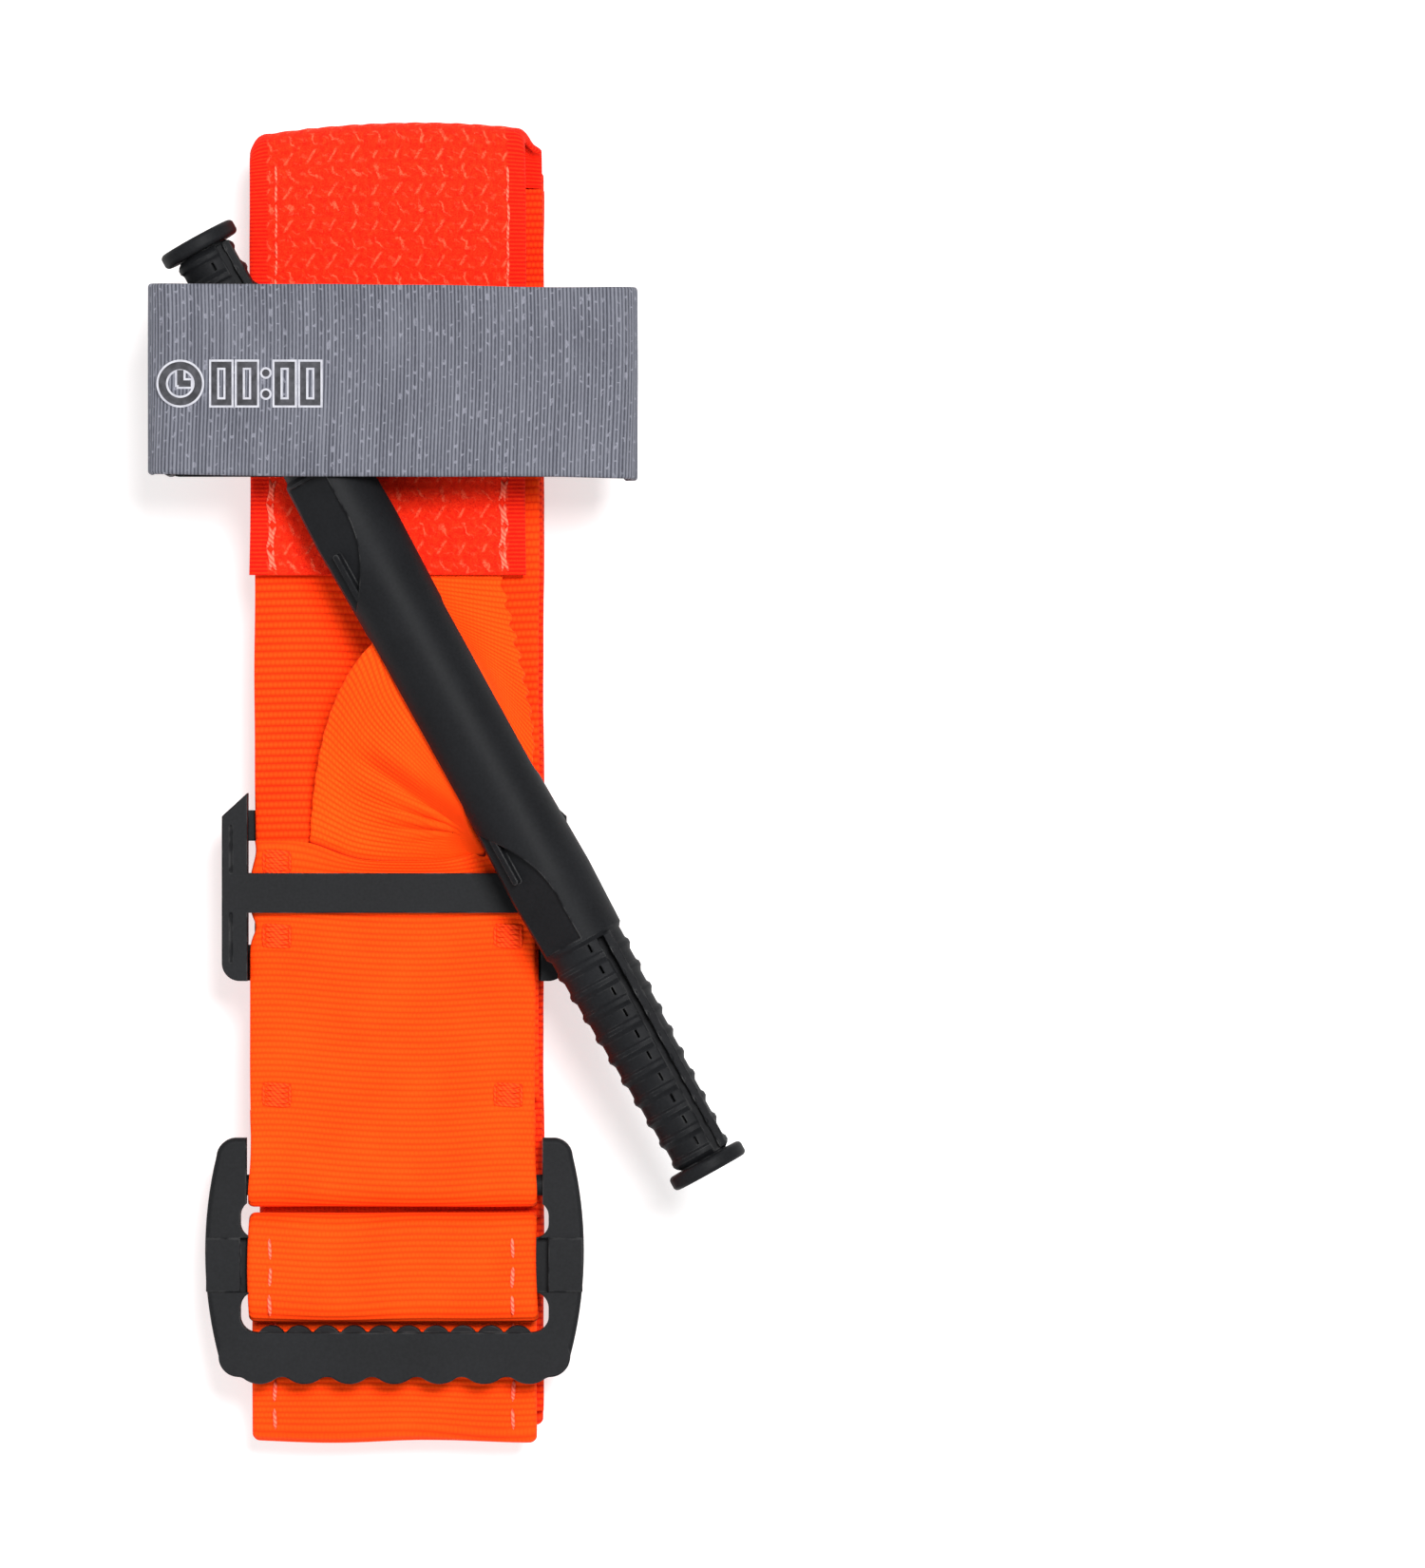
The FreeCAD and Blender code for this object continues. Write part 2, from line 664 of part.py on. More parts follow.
def time_strap():
    """The grey strap over the clip: it turns down over both walls, and opens at the right."""
    half, top, thick = size("strap_half"), size("strap_top"), size("strap_thick")
    middle, width = size("clip_middle"), size("strap_width")
    radius, overhang = 2.4, 4.4
    level = top - thick / 2
    wall = half - thick / 2
    foot = size("strap_hinge_height") + 0.7
    side = Strip((wall, foot), 90).run(level - radius - foot).bend(radius, 90)
    side.run(2 * (wall - radius)).bend(radius, 90).run(overhang)
    body = new_body("time_strap")
    pad(body, sketch_on(body, "XZ_Plane", side.outline(thick), -middle), cell("strap_width"), True)
    # the loop patch inside the open end, and the stub of strap fixed to the other wall
    edge = middle - width / 2 + 1.0
    patch = box(0.4, width - 2.0, 4.0, (-half + thick + 0.02, edge, 24.4), "patch")
    keep(patch, "time_strap_lining")
    stub = box(0.6, width - 2.0, 2.0, (size("clip_half") + 0.2, edge, 14.4), "stub")
    keep(stub, "time_strap_anchor")


# ---------------------------------------------------------------- seams


def bartacks():
    """Box tacks that close the sleeve beside its mouth and above the buckle."""
    members = []
    for y in (-11.9, -22.2, -42.6):
        for x in (-17.4, 13.2):
            members.append(box(3.8, 2.8, 0.12, (x, y, FRONT_TOP), f"tack_{len(members)}"))
    group("sleeve_bartacks", members)


def seams():
    """Rows of edge stitching, each a raised line on the face of its webbing."""
    rows = {
        "pile_tape_seams": [(x, size("pile_edge") + 0.6, 50.0, FRONT_TOP) for x in (-16.4, 14.8)],
        "wrap_seams": [(x, -69.0, 9.6, 16.25) for x in (-16.8, 15.6)],
        "tail_seams": [(x, -85.8, 4.0, REAR_RUN_Z + 1.0) for x in (-16.2, 15.6)],
    }
    for label, lines in rows.items():
        members = []
        for x, y, length, z in lines:
            members.append(box(0.5, length, 0.12, (x, y, z), f"{label}_{len(members)}"))
        group(label, members)


base_plate()
clip_pads()
windlass_rod()
inner_band()
main_band()
routing_buckle()
time_strap()
bartacks()
seams()
doc.recompute()

for item in doc.Objects:
    if "Invalid" in item.State or "Error" in item.State:
        raise RuntimeError(f"{item.Name} ({item.Label}) is {item.State}")
for item in subparts:
    if item.Shape.isNull() or not item.Shape.isValid():
        raise RuntimeError(f"{item.Label} has no valid shape")

os.makedirs("parts", exist_ok=True)
for item in subparts:
    item.Shape.exportStep(f"parts/{item.Label}.step")
    extent = item.Shape.BoundBox
    print(
        f"{item.Label:26s} {len(item.Shape.Solids)} solids, {item.Shape.Volume:9.1f} mm3, "
        f"x {extent.XMin:.1f}..{extent.XMax:.1f} y {extent.YMin:.1f}..{extent.YMax:.1f} "
        f"z {extent.ZMin:.2f}..{extent.ZMax:.2f}"
    )
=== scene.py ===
import math

import bpy
import numpy as np
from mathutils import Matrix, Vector


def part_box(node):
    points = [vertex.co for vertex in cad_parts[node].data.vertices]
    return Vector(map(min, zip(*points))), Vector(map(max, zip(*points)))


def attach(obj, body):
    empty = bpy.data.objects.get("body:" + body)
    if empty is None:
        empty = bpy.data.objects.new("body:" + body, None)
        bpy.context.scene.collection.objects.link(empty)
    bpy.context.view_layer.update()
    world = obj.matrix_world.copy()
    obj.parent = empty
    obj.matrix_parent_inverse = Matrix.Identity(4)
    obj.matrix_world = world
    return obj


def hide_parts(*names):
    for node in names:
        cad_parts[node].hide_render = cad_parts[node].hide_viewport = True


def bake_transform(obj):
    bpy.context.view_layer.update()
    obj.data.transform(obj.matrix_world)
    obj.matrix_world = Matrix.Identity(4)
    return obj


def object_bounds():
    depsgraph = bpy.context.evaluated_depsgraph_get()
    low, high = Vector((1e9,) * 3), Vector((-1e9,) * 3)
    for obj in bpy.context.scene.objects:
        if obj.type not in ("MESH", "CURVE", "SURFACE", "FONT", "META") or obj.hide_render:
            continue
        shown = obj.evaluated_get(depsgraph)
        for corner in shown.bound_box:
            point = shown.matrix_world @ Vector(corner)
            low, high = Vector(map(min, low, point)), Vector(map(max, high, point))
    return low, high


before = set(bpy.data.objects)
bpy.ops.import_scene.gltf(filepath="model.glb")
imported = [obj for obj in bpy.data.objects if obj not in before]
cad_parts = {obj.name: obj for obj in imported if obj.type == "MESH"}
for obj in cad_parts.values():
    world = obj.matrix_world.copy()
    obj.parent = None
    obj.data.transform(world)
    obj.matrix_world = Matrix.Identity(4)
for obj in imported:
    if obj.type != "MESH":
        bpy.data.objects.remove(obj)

CAD_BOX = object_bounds()
MM = 0.001
scene = bpy.context.scene

# A windlass tourniquet folded flat. Lengths below are in millimetres in the model's frame:
# x across the band, y along it, z up through the stack. Meshes are scaled to metres last.

# ---- sizes shared with the frame

BAND_WIDTH, BAND_THICK, SINGLE = 38.0, 2.0, 1.2
INNER_WIDTH, INNER_THICK = 25.0, 0.8
LEAN = 0.8
LAYER_Z = [1.0, 3.2, 5.4, 7.6, 9.8]
FOLD_RADIUS = 1.1
BACKING_Z, INNER_Z, FRONT_Z, FRONT_TOP = 13.4, 14.55, 15.7, 16.3
MOUTH, PILE_EDGE = -8.6, 27.8
ROD_X, ROD_Y, ROD_Z, ROD_TILT, ROD_RADIUS = 8.0, 10.4, 24.3, math.radians(28.9), 5.7
STRAP_TOP, STRAP_THICK, STRAP_WIDTH, STRAP_MIDDLE = 31.5, 0.9, 25.4, 53.4
TAIL_TURN = -86.3

rng = np.random.default_rng(7)

# ---- side views of webbing


class Route:
    """The side view of a strip: straight runs joined by tangent bends, in a plane (a, b)."""

    def __init__(self, start, heading_deg):
        self.point = np.array(start, float)
        self.heading = math.radians(heading_deg)
        self.points = [self.point.copy()]
        self.sides = [self.side()]
        self.along = [0.0]
        self.step = 0.2

    def side(self):
        return np.array([-math.sin(self.heading), math.cos(self.heading)])

    def pace(self, step):
        """Set the distance between rows from here on."""
        self.step = step
        return self

    def add(self, point, side, length):
        self.points.append(point)
        self.sides.append(side)
        self.along.append(self.along[-1] + length)

    def run(self, length):
        count = max(1, int(math.ceil(length / self.step)))
        ahead = np.array([math.cos(self.heading), math.sin(self.heading)])
        for i in range(1, count + 1):
            self.add(self.point + ahead * length * i / count, self.side(), length / count)
        self.point = self.point + ahead * length
        return self

    def bend(self, radius, degrees):
        turn = 1 if degrees > 0 else -1
        centre = self.point + self.side() * radius * turn
        total = abs(math.radians(degrees)) * radius
        count = max(6, int(math.ceil(total / self.step)))
        first = self.heading
        for i in range(1, count + 1):
            self.heading = first + math.radians(degrees) * i / count
            self.add(centre - self.side() * radius * turn, self.side(), total / count)
        self.point = centre - self.side() * radius * turn
        return self

    def shift(self, length, sideways):
        """An S-bend that moves the strip sideways, to the left when positive."""
        angle = 2 * math.atan2(abs(sideways), length)
        radius = length / (2 * math.sin(angle))
        turn = math.copysign(math.degrees(angle), sideways)
        return self.bend(radius, turn).bend(radius, -turn)


# ---- relief and waviness


def unit(x):
    return np.clip(x, 0, 1)


def bell(x, centre, width, power=2):
    return np.exp(-((x - centre) / width) ** power)


def wander(t, seed, scale):
    """A smooth wavering between about -1 and 1, the same every time."""
    phases = np.random.default_rng(seed).uniform(0, 2 * math.pi, 4)
    total = 0
    for k, phase in enumerate(phases):
        total = total + np.sin(t / scale * (1 + 0.73 * k) + phase) / (1 + k)
    return total / 1.8


def ribs(s, pitch, depth):
    """Round crosswise ribs, centred on zero, with their grooves at whole numbers of pitches."""
    return -depth / 2 * np.cos(2 * math.pi * s / pitch)


def columns(width, step, edge=0.9):
    """Positions across a strip, closer together in the selvages."""
    half = width / 2
    count = max(2, int(round((width - 2 * edge) / step)) + 1)
    inner = np.linspace(-half + edge, half - edge, count)
    ease = np.sin(np.linspace(0, math.pi / 2, 6)[1:])
    side = half - edge + edge * ease
    return np.concatenate([-side[::-1], inner, side])


def edge_profile(x, width, roll):
    """Thickness across the strip, from 1 in the middle to thin round selvages."""
    t = unit((np.abs(x) - (width / 2 - roll)) / roll)
    return np.sqrt(unit(1 - 0.93 * t ** 2))


# ---- meshes


def new_object(name, verts, faces, uv=None, smooth=True):
    mesh = bpy.data.meshes.new(name)
    verts = np.asarray(verts, float) * MM
    mesh.from_pydata(verts.tolist(), [], faces)
    if uv is not None:
        layer = mesh.uv_layers.new(name="Weave")
        loops = np.empty(len(mesh.loops), dtype=np.int32)
        mesh.loops.foreach_get("vertex_index", loops)
        layer.data.foreach_set("uv", np.asarray(uv, float)[loops].ravel())
    mesh.polygons.foreach_set("use_smooth", [smooth] * len(mesh.polygons))
    mesh.update()
    obj = bpy.data.objects.new(name, mesh)
    scene.collection.objects.link(obj)
    return obj


def closed_sheet(name, top, bottom, uv):
    """A closed mesh from two grids of the same shape, the top one seen from above."""
    rows, cols = top.shape[:2]
    count = rows * cols
    index = np.arange(count).reshape(rows, cols)
    quads = np.stack([index[:-1, :-1], index[:-1, 1:], index[1:, 1:], index[1:, :-1]], -1)
    quads = quads.reshape(-1, 4)
    under = quads[:, ::-1] + count
    ring = np.concatenate([index[0, :-1], index[:-1, -1], index[-1, :0:-1], index[:0:-1, 0]])
    ahead = np.roll(ring, -1)
    walls = np.stack([ring, ring + count, ahead + count, ahead], -1)
    faces = np.concatenate([quads, under, walls])
    verts = np.concatenate([top.reshape(-1, 3), bottom.reshape(-1, 3)])
    a, b, c, d = (verts[faces[:, k]] for k in range(4))
    volume = sum(np.einsum("ij,ij->i", a, np.cross(p, q)).sum() for p, q in ((b, c), (c, d)))
    if volume < 0:
        faces = faces[:, ::-1]
    flat = uv.reshape(-1, 2)
    mirrored = flat + np.array([0.37, 0.0])
    return new_object(name, verts, faces.tolist(), np.concatenate([flat, mirrored]))


def strip(name, route, width, thick, middle=0.0, pitch=1.0, depth=0.12, step=0.5, plane="yz",
          relief=None, warp=None, roll=0.8, seed=1, wave=0.12, edge_wave=0.12, face=None,
          taper=None, bow=0.3, skew=None):
    """A woven strip along a route, with ribs, round selvages and slight waviness.

    face gives the two offsets from the route line, skew moves each row sideways, and warp
    moves the points in the end."""
    s = np.array(route.along)
    line = np.array(route.points)
    side = np.array(route.sides)
    x = columns(width, step)
    grid_s, grid_x = np.meshgrid(s, x, indexing="ij")
    profile = edge_profile(grid_x, width, roll)
    if taper is not None:
        profile = profile * taper(grid_s)
    woven_s = grid_s + bow * wander(grid_x, seed + 31, 9.0)
    surface = ribs(woven_s, pitch, depth) if pitch else np.zeros_like(grid_s)
    if relief is not None:
        surface = surface + relief(grid_x, grid_s)
    lift = wave * wander(grid_x + 3.1 * seed, seed, 6.0) * wander(grid_s, seed + 50, 9.0)
    low, high = face if face is not None else (-thick / 2, thick / 2)
    low = low(grid_s) if callable(low) else low
    high = high(grid_s) if callable(high) else high
    middle_line = (low + high) / 2
    half = (high - low) / 2
    top_h = middle_line + (half + surface) * profile + lift
    bottom_h = middle_line - (half + surface) * profile + lift
    x_out = grid_x + middle
    if skew is not None:
        x_out = x_out + skew(grid_s)
    edges = np.where(grid_x > 0, wander(grid_s, seed + 9, 7.0), wander(grid_s, seed + 17, 8.0))
    x_out = x_out + edge_wave * edges * unit(np.abs(grid_x) / (width / 2))

    def place(height):
        a = line[:, 0][:, None] + side[:, 0][:, None] * height
        b = line[:, 1][:, None] + side[:, 1][:, None] * height
        if plane == "yz":
            return np.stack([x_out, a, b], -1)
        return np.stack([a, x_out, b], -1)

    top, bottom = place(top_h), place(bottom_h)
    if warp is not None:
        top, bottom = warp(top), warp(bottom)
    uv = np.stack([grid_x, woven_s], -1)
    return closed_sheet(name, top, bottom, uv)


# ---- node materials


class Finish:
    """A material built from nodes, with short ways to add maths and colour."""

    def __init__(self, name, roughness, specular, sheen=0.0, sheen_roughness=0.5, sheen_tint=None):
        self.material = bpy.data.materials.new(name)
        self.material.use_nodes = True
        self.tree = self.material.node_tree
        self.shader = self.tree.nodes["Principled BSDF"]
        for socket, value in (("Roughness", roughness), ("Specular IOR Level", specular),
                              ("Sheen Weight", sheen), ("Sheen Roughness", sheen_roughness)):
            self.shader.inputs[socket].default_value = value
        if sheen_tint is not None:
            self.shader.inputs["Sheen Tint"].default_value = (*sheen_tint, 1)

    def node(self, kind):
        return self.tree.nodes.new("ShaderNode" + kind)

    def put(self, socket, value):
        if isinstance(value, bpy.types.NodeSocket):
            self.tree.links.new(value, socket)
        elif isinstance(value, tuple) and len(value) == 3 and socket.type == "RGBA":
            socket.default_value = (*value, 1)
        else:
            socket.default_value = value

    def math(self, operation, *values):
        node = self.node("Math")
        node.operation = operation
        for socket, value in zip(node.inputs, values):
            self.put(socket, value)
        return node.outputs[0]

    def times(self, a, b):
        return self.math("MULTIPLY", a, b)

    def plus(self, a, b):
        return self.math("ADD", a, b)

    def minus(self, a, b):
        return self.math("SUBTRACT", a, b)

    def over(self, a, b):
        return self.math("DIVIDE", a, b)

    def about(self, a, scale):
        """How far a lies from 0.5, times scale."""
        return self.times(self.minus(a, 0.5), scale)

    def rest(self, a):
        return self.minus(1.0, a)

    def size(self, a):
        return self.math("ABSOLUTE", a)

    def sine(self, a):
        return self.math("SINE", a)

    def fract(self, a):
        return self.math("FRACT", a)

    def floor(self, a):
        return self.math("FLOOR", a)

    def ramp(self, factor, stops):
        node = self.node("ValToRGB")
        ramp = node.color_ramp
        while len(ramp.elements) < len(stops):
            ramp.elements.new(0.5)
        for element, (at, colour) in zip(ramp.elements, stops):
            element.position = at
            element.color = (*colour, 1)
        self.put(node.inputs[0], factor)
        return node.outputs[0]

    def steps(self, factor, low, high):
        """0 below low, 1 above high, smooth between."""
        node = self.node("MapRange")
        node.interpolation_type = "SMOOTHSTEP"
        self.put(node.inputs["Value"], factor)
        node.inputs["From Min"].default_value = low
        node.inputs["From Max"].default_value = high
        return node.outputs["Result"]

    def mix(self, factor, a, b):
        node = self.node("Mix")
        node.data_type = "RGBA"
        self.put(node.inputs[0], factor)
        self.put(node.inputs[6], a)
        self.put(node.inputs[7], b)
        return node.outputs[2]

    def noise(self, scale, detail=2.0, vector=None, stretch=None, rough=0.5):
        node = self.node("TexNoise")
        for socket, value in (("Scale", scale), ("Detail", detail), ("Roughness", rough)):
            node.inputs[socket].default_value = value
        source = vector
        if stretch is not None:
            mapping = self.node("Mapping")
            mapping.inputs["Scale"].default_value = stretch
            self.put(mapping.inputs["Vector"], source)
            source = mapping.outputs[0]
        self.put(node.inputs["Vector"], source)
        return node.outputs[0]

    def weave_uv(self):
        node = self.node("UVMap")
        node.uv_map = "Weave"
        split = self.node("SeparateXYZ")
        self.put(split.inputs[0], node.outputs[0])
        return node.outputs[0], split.outputs[0], split.outputs[1]

    def place(self):
        return self.node("TexCoord").outputs["Object"]

    def colour(self, value):
        self.put(self.shader.inputs["Base Color"], value)

    def bump(self, height, distance, strength=1.0, normal=None):
        node = self.node("Bump")
        node.inputs["Strength"].default_value = strength
        node.inputs["Distance"].default_value = distance
        self.put(node.inputs["Height"], height)
        if normal is not None:
            self.put(node.inputs["Normal"], normal)
        self.put(self.shader.inputs["Normal"], node.outputs[0])


WEB_ROUGHNESS = 0.85
# the colour of the painted shade where a band comes out of a sewn mouth
MOUTH_SHADE_COLOUR = (0.16, 0.004, 0.001)


def woven(name, pitch, yarn, dark, base, light, contrast=1.0, fade=None, mouth_shade=None):
    """Ribbed webbing: warp yarns pass over the crosswise ribs in a brick pattern.

    fade is the stretch of u over which the ribs soften, where the webbing is gathered, and the
    stretch of v given last is darkened with painted shade, where the band comes out of a sewn
    mouth."""
    f = Finish(name, WEB_ROUGHNESS, 0.1, 0.04, 0.4, (1.0, 0.4, 0.1))
    uv, u, v = f.weave_uv()
    rib = f.math("POWER", f.size(f.sine(f.times(v, math.pi / pitch))), 0.8)
    row = f.floor(f.over(v, pitch))
    shifted = f.plus(f.over(u, yarn), f.times(row, 0.5))
    thread = f.math("POWER", f.size(f.sine(f.times(shifted, math.pi))), 0.6)
    height = f.plus(f.times(rib, 0.5), f.times(f.times(rib, thread), 0.5))
    if fade is not None:
        kept = f.rest(f.times(f.steps(u, *fade), 0.85))
        height = f.plus(f.times(f.minus(height, 0.55), kept), 0.55)
    fibre = f.noise(1.0, 3.0, uv, (7.0, 1.8, 1.0))
    cloud = f.noise(0.09, 2.0, uv)
    tone = f.plus(f.times(height, contrast), 0.55 - 0.55 * contrast)
    tone = f.plus(tone, f.about(fibre, 0.4))
    tone = f.plus(tone, f.about(cloud, 0.55))
    cloth = f.ramp(tone, [(0.0, dark), (0.5, base), (1.0, light)])
    # painted shade: below v = 0.7 the cloth darkens towards the shade colour, where the band comes
    # out of a sewn mouth
    if mouth_shade is not None:
        cloth = f.mix(f.steps(v, *mouth_shade), MOUTH_SHADE_COLOUR, cloth)
    f.colour(cloth)
    f.put(f.shader.inputs["Roughness"], f.plus(WEB_ROUGHNESS - 0.08, f.times(fibre, 0.16)))
    f.bump(f.plus(height, f.times(fibre, 0.25)), 0.1 * MM, 0.6 * contrast)
    return f.material


PILE_COLUMN, PILE_PERIOD = 2.9, 4.8
PILE_SELVAGE = (15.7, 16.3)


def loop_pile(name, dark, base, glow, light, column=PILE_COLUMN, period=PILE_PERIOD):
    """Knitted loop tape: zigzag columns of pale loops on a fuzzy ground, and ribbed selvages."""
    f = Finish(name, 0.9, 0.1, 0.1, 0.35, (1.0, 0.35, 0.2))
    uv, u, v = f.weave_uv()
    jitter = f.minus(f.noise(0.55, 3.0, uv), 0.5)
    tufts = f.noise(1.5, 3.0, uv, (1.0, 0.75, 1.0), 0.7)
    fine = f.noise(5.0, 2.0, uv)
    u_wavy = f.plus(f.over(u, column), f.times(jitter, 0.6))
    v_wavy = f.plus(f.over(v, period / 2), f.times(jitter, 0.8))
    across = f.about(f.fract(u_wavy), column)
    along = f.about(f.fract(v_wavy), period / 2)
    lean = f.minus(f.times(f.math("PINGPONG", f.floor(v_wavy), 1.0), 2.0), 1.0)
    centre = f.times(f.times(lean, along), 0.55)
    off = f.size(f.plus(f.minus(across, centre), f.times(lean, 0.18)))
    stroke = f.rest(f.steps(off, 0.08, 0.3))
    stroke = f.times(stroke, f.rest(f.steps(f.size(along), 0.5, 1.0)))
    side_off = f.size(f.plus(f.plus(along, f.times(across, 0.45)), 0.3))
    side_stroke = f.rest(f.steps(side_off, 0.05, 0.25))
    side_stroke = f.times(side_stroke, f.steps(f.size(across), 0.3, 0.7))
    marks = f.math("MAXIMUM", stroke, f.times(side_stroke, 0.35))
    edge = f.steps(f.size(u), *PILE_SELVAGE)
    broken = f.steps(f.plus(f.times(tufts, 0.6), f.times(fine, 0.4)), 0.34, 0.62)
    fleck = f.times(marks, broken)
    fleck = f.times(f.times(fleck, 0.8), f.rest(edge))
    rib = f.size(f.sine(f.times(v, math.pi / 0.55)))
    tone = f.plus(f.times(tufts, 0.55), f.times(fine, 0.45))
    tone = f.plus(f.times(tone, f.rest(f.times(edge, 0.7))), f.times(f.times(rib, edge), 0.4))
    ground = f.ramp(tone, [(0.34, dark), (0.52, base), (0.72, glow)])
    f.colour(f.mix(fleck, ground, light))
    height = f.plus(f.times(tufts, 0.8), f.times(fine, 0.5))
    f.bump(f.plus(height, f.times(fleck, 0.6)), 0.2 * MM, 0.7)
    return f.material


STRAP_PITCH, DOT_SPACING = 0.48, 2.1


def grey_strap(name):
    """Grey narrow-ribbed strap with pale binder dots in slanting rows."""
    f = Finish(name, 0.75, 0.18, 0.05, 0.4)
    uv, u, v = f.weave_uv()
    rib = f.math("POWER", f.size(f.sine(f.times(v, math.pi / STRAP_PITCH))), 0.8)
    fibre = f.noise(1.0, 3.0, uv, (1.6, 6.0, 1.0))
    streak = f.noise(1.0, 1.0, uv, (0.05, 1.4, 1.0))
    cloud = f.noise(0.12, 2.0, uv)
    tone = f.plus(rib, f.about(fibre, 0.45))
    tone = f.plus(tone, f.about(streak, 0.7))
    tone = f.plus(tone, f.about(cloud, 0.3))
    base = f.ramp(tone, [(0.1, (0.036, 0.038, 0.050)), (0.6, (0.087, 0.090, 0.112)),
                         (1.0, (0.152, 0.157, 0.186))])
    row = f.floor(f.over(v, 2 * STRAP_PITCH))
    drift = f.times(f.noise(0.9, 2.0, uv), 1.3)
    along = f.fract(f.plus(f.plus(f.over(u, DOT_SPACING), drift), f.times(row, 0.37)))
    near_u = f.times(f.size(f.minus(along, 0.5)), DOT_SPACING)
    near_v = f.fract(f.over(v, 2 * STRAP_PITCH))
    near_v = f.times(f.size(f.minus(near_v, 0.5)), 2 * STRAP_PITCH)
    far = f.plus(f.times(near_u, near_u), f.times(near_v, near_v))
    dot = f.rest(f.steps(far, 0.01, 0.08))
    dot = f.times(dot, f.steps(f.noise(0.35, 1.0, uv), 0.35, 0.6))
    f.colour(f.mix(f.times(dot, 0.4), base, (0.34, 0.34, 0.40)))
    height = f.plus(f.plus(rib, f.times(fibre, 0.3)), f.times(dot, 0.6))
    f.bump(height, 0.08 * MM, 0.7)
    return f.material


def moulded_plastic(name, dark, light, roughness=0.42):
    """Black glass-filled plastic: fine spark grain, faint flow marks, polished worn edges."""
    f = Finish(name, roughness, 0.08)
    at = f.place()
    grain = f.noise(2600.0, 2.0, at)
    flow = f.noise(70.0, 3.0, at, None, 0.6)
    bevel = f.node("Bevel")
    bevel.samples = 4
    bevel.inputs["Radius"].default_value = 0.35 * MM
    geometry = f.node("NewGeometry")
    dot = f.node("VectorMath")
    dot.operation = "DOT_PRODUCT"
    f.put(dot.inputs[0], bevel.outputs[0])
    f.put(dot.inputs[1], geometry.outputs["Normal"])
    edge = f.rest(f.steps(dot.outputs["Value"], 0.82, 0.995))
    wear = f.times(edge, f.steps(f.noise(420.0, 3.0, at), 0.42, 0.62))
    tone = f.plus(f.times(flow, 0.6), f.times(grain, 0.4))
    base = f.ramp(tone, [(0.3, dark), (0.7, light)])
    f.colour(f.mix(f.times(wear, 0.5), base, (0.1, 0.1, 0.1)))
    rough = f.plus(roughness - 0.1, f.times(flow, 0.2))
    f.put(f.shader.inputs["Roughness"], f.minus(rough, f.times(edge, 0.08)))
    f.bump(grain, 0.02 * MM, 0.5, bevel.outputs[0])
    return f.material


def thread_finish(name, dark, light, gloss=0.3):
    """Twisted sewing thread."""
    f = Finish(name, 0.75, gloss)
    at = f.place()
    wave = f.node("TexWave")
    wave.bands_direction = "DIAGONAL"
    wave.inputs["Scale"].default_value = 900.0
    wave.inputs["Distortion"].default_value = 1.0
    f.put(wave.inputs["Vector"], at)
    tone = f.plus(f.times(wave.outputs["Fac"], 0.6), f.times(f.noise(600.0, 2.0, at), 0.4))
    f.colour(f.ramp(tone, [(0.2, dark), (0.7, light)]))
    f.bump(wave.outputs["Fac"], 0.05 * MM, 0.6)
    return f.material


def ink(name, colour, worn):
    """Printed ink, slightly worn."""
    f = Finish(name, 0.6, 0.25)
    at = f.place()
    f.colour(f.ramp(f.noise(900.0, 3.0, at), [(0.35, colour), (0.75, worn)]))
    f.bump(f.noise(2000.0, 1.0, at), 0.02 * MM, 0.5)
    return f.material


UPPER_PITCH, LOWER_PITCH, REAR_PITCH, INNER_PITCH = 1.0, 0.8, 0.9, 0.62
web_upper = woven("webbing_upper", UPPER_PITCH, 0.62, (0.64, 0.015, 0.0005),
                  (0.87, 0.037, 0.001), (0.96, 0.06, 0.003), contrast=0.9)
web_lower = woven("webbing_lower", LOWER_PITCH, 0.55, (0.66, 0.021, 0.0005),
                  (0.89, 0.048, 0.001), (0.97, 0.074, 0.003), contrast=0.55)
# the band's webbing in darker colours: painted shade for the layers that lie low, under and beside
# the others
web_rear_shaded = woven("webbing_rear_shaded", REAR_PITCH, 0.6, (0.46, 0.006, 0.0005),
                 (0.76, 0.019, 0.001), (0.88, 0.042, 0.003))
# the inner band's webbing, with painted shade where it comes out of the sewn mouths
web_inner = woven("webbing_inner", INNER_PITCH, 0.55, (0.70, 0.026, 0.0005),
                  (0.90, 0.055, 0.001), (0.98, 0.085, 0.004),
                  contrast=0.75, fade=(-4.0, 11.0), mouth_shade=(-0.5, 0.7))
pile = loop_pile("loop_pile", (0.62, 0.006, 0.002), (0.86, 0.020, 0.004), (0.94, 0.042, 0.009),
                 (1.0, 0.125, 0.06))
grey = grey_strap("strap_weave")
grey_pile = loop_pile("strap_loop_patch", (0.03, 0.03, 0.035), (0.07, 0.07, 0.08),
                      (0.09, 0.09, 0.10), (0.16, 0.16, 0.18), 1.4, 2.2)
plastic = moulded_plastic("moulded_black", (0.007, 0.0073, 0.008), (0.013, 0.0135, 0.015), 0.58)
rod_plastic = moulded_plastic("moulded_black_rod", (0.005, 0.0053, 0.006),
                              (0.010, 0.0105, 0.012), 0.55)
hooks = moulded_plastic("hook_tape", (0.012, 0.012, 0.013), (0.028, 0.028, 0.03), 0.55)
pink_thread = thread_finish("stitch_thread", (0.85, 0.06, 0.03), (1.0, 0.17, 0.10))
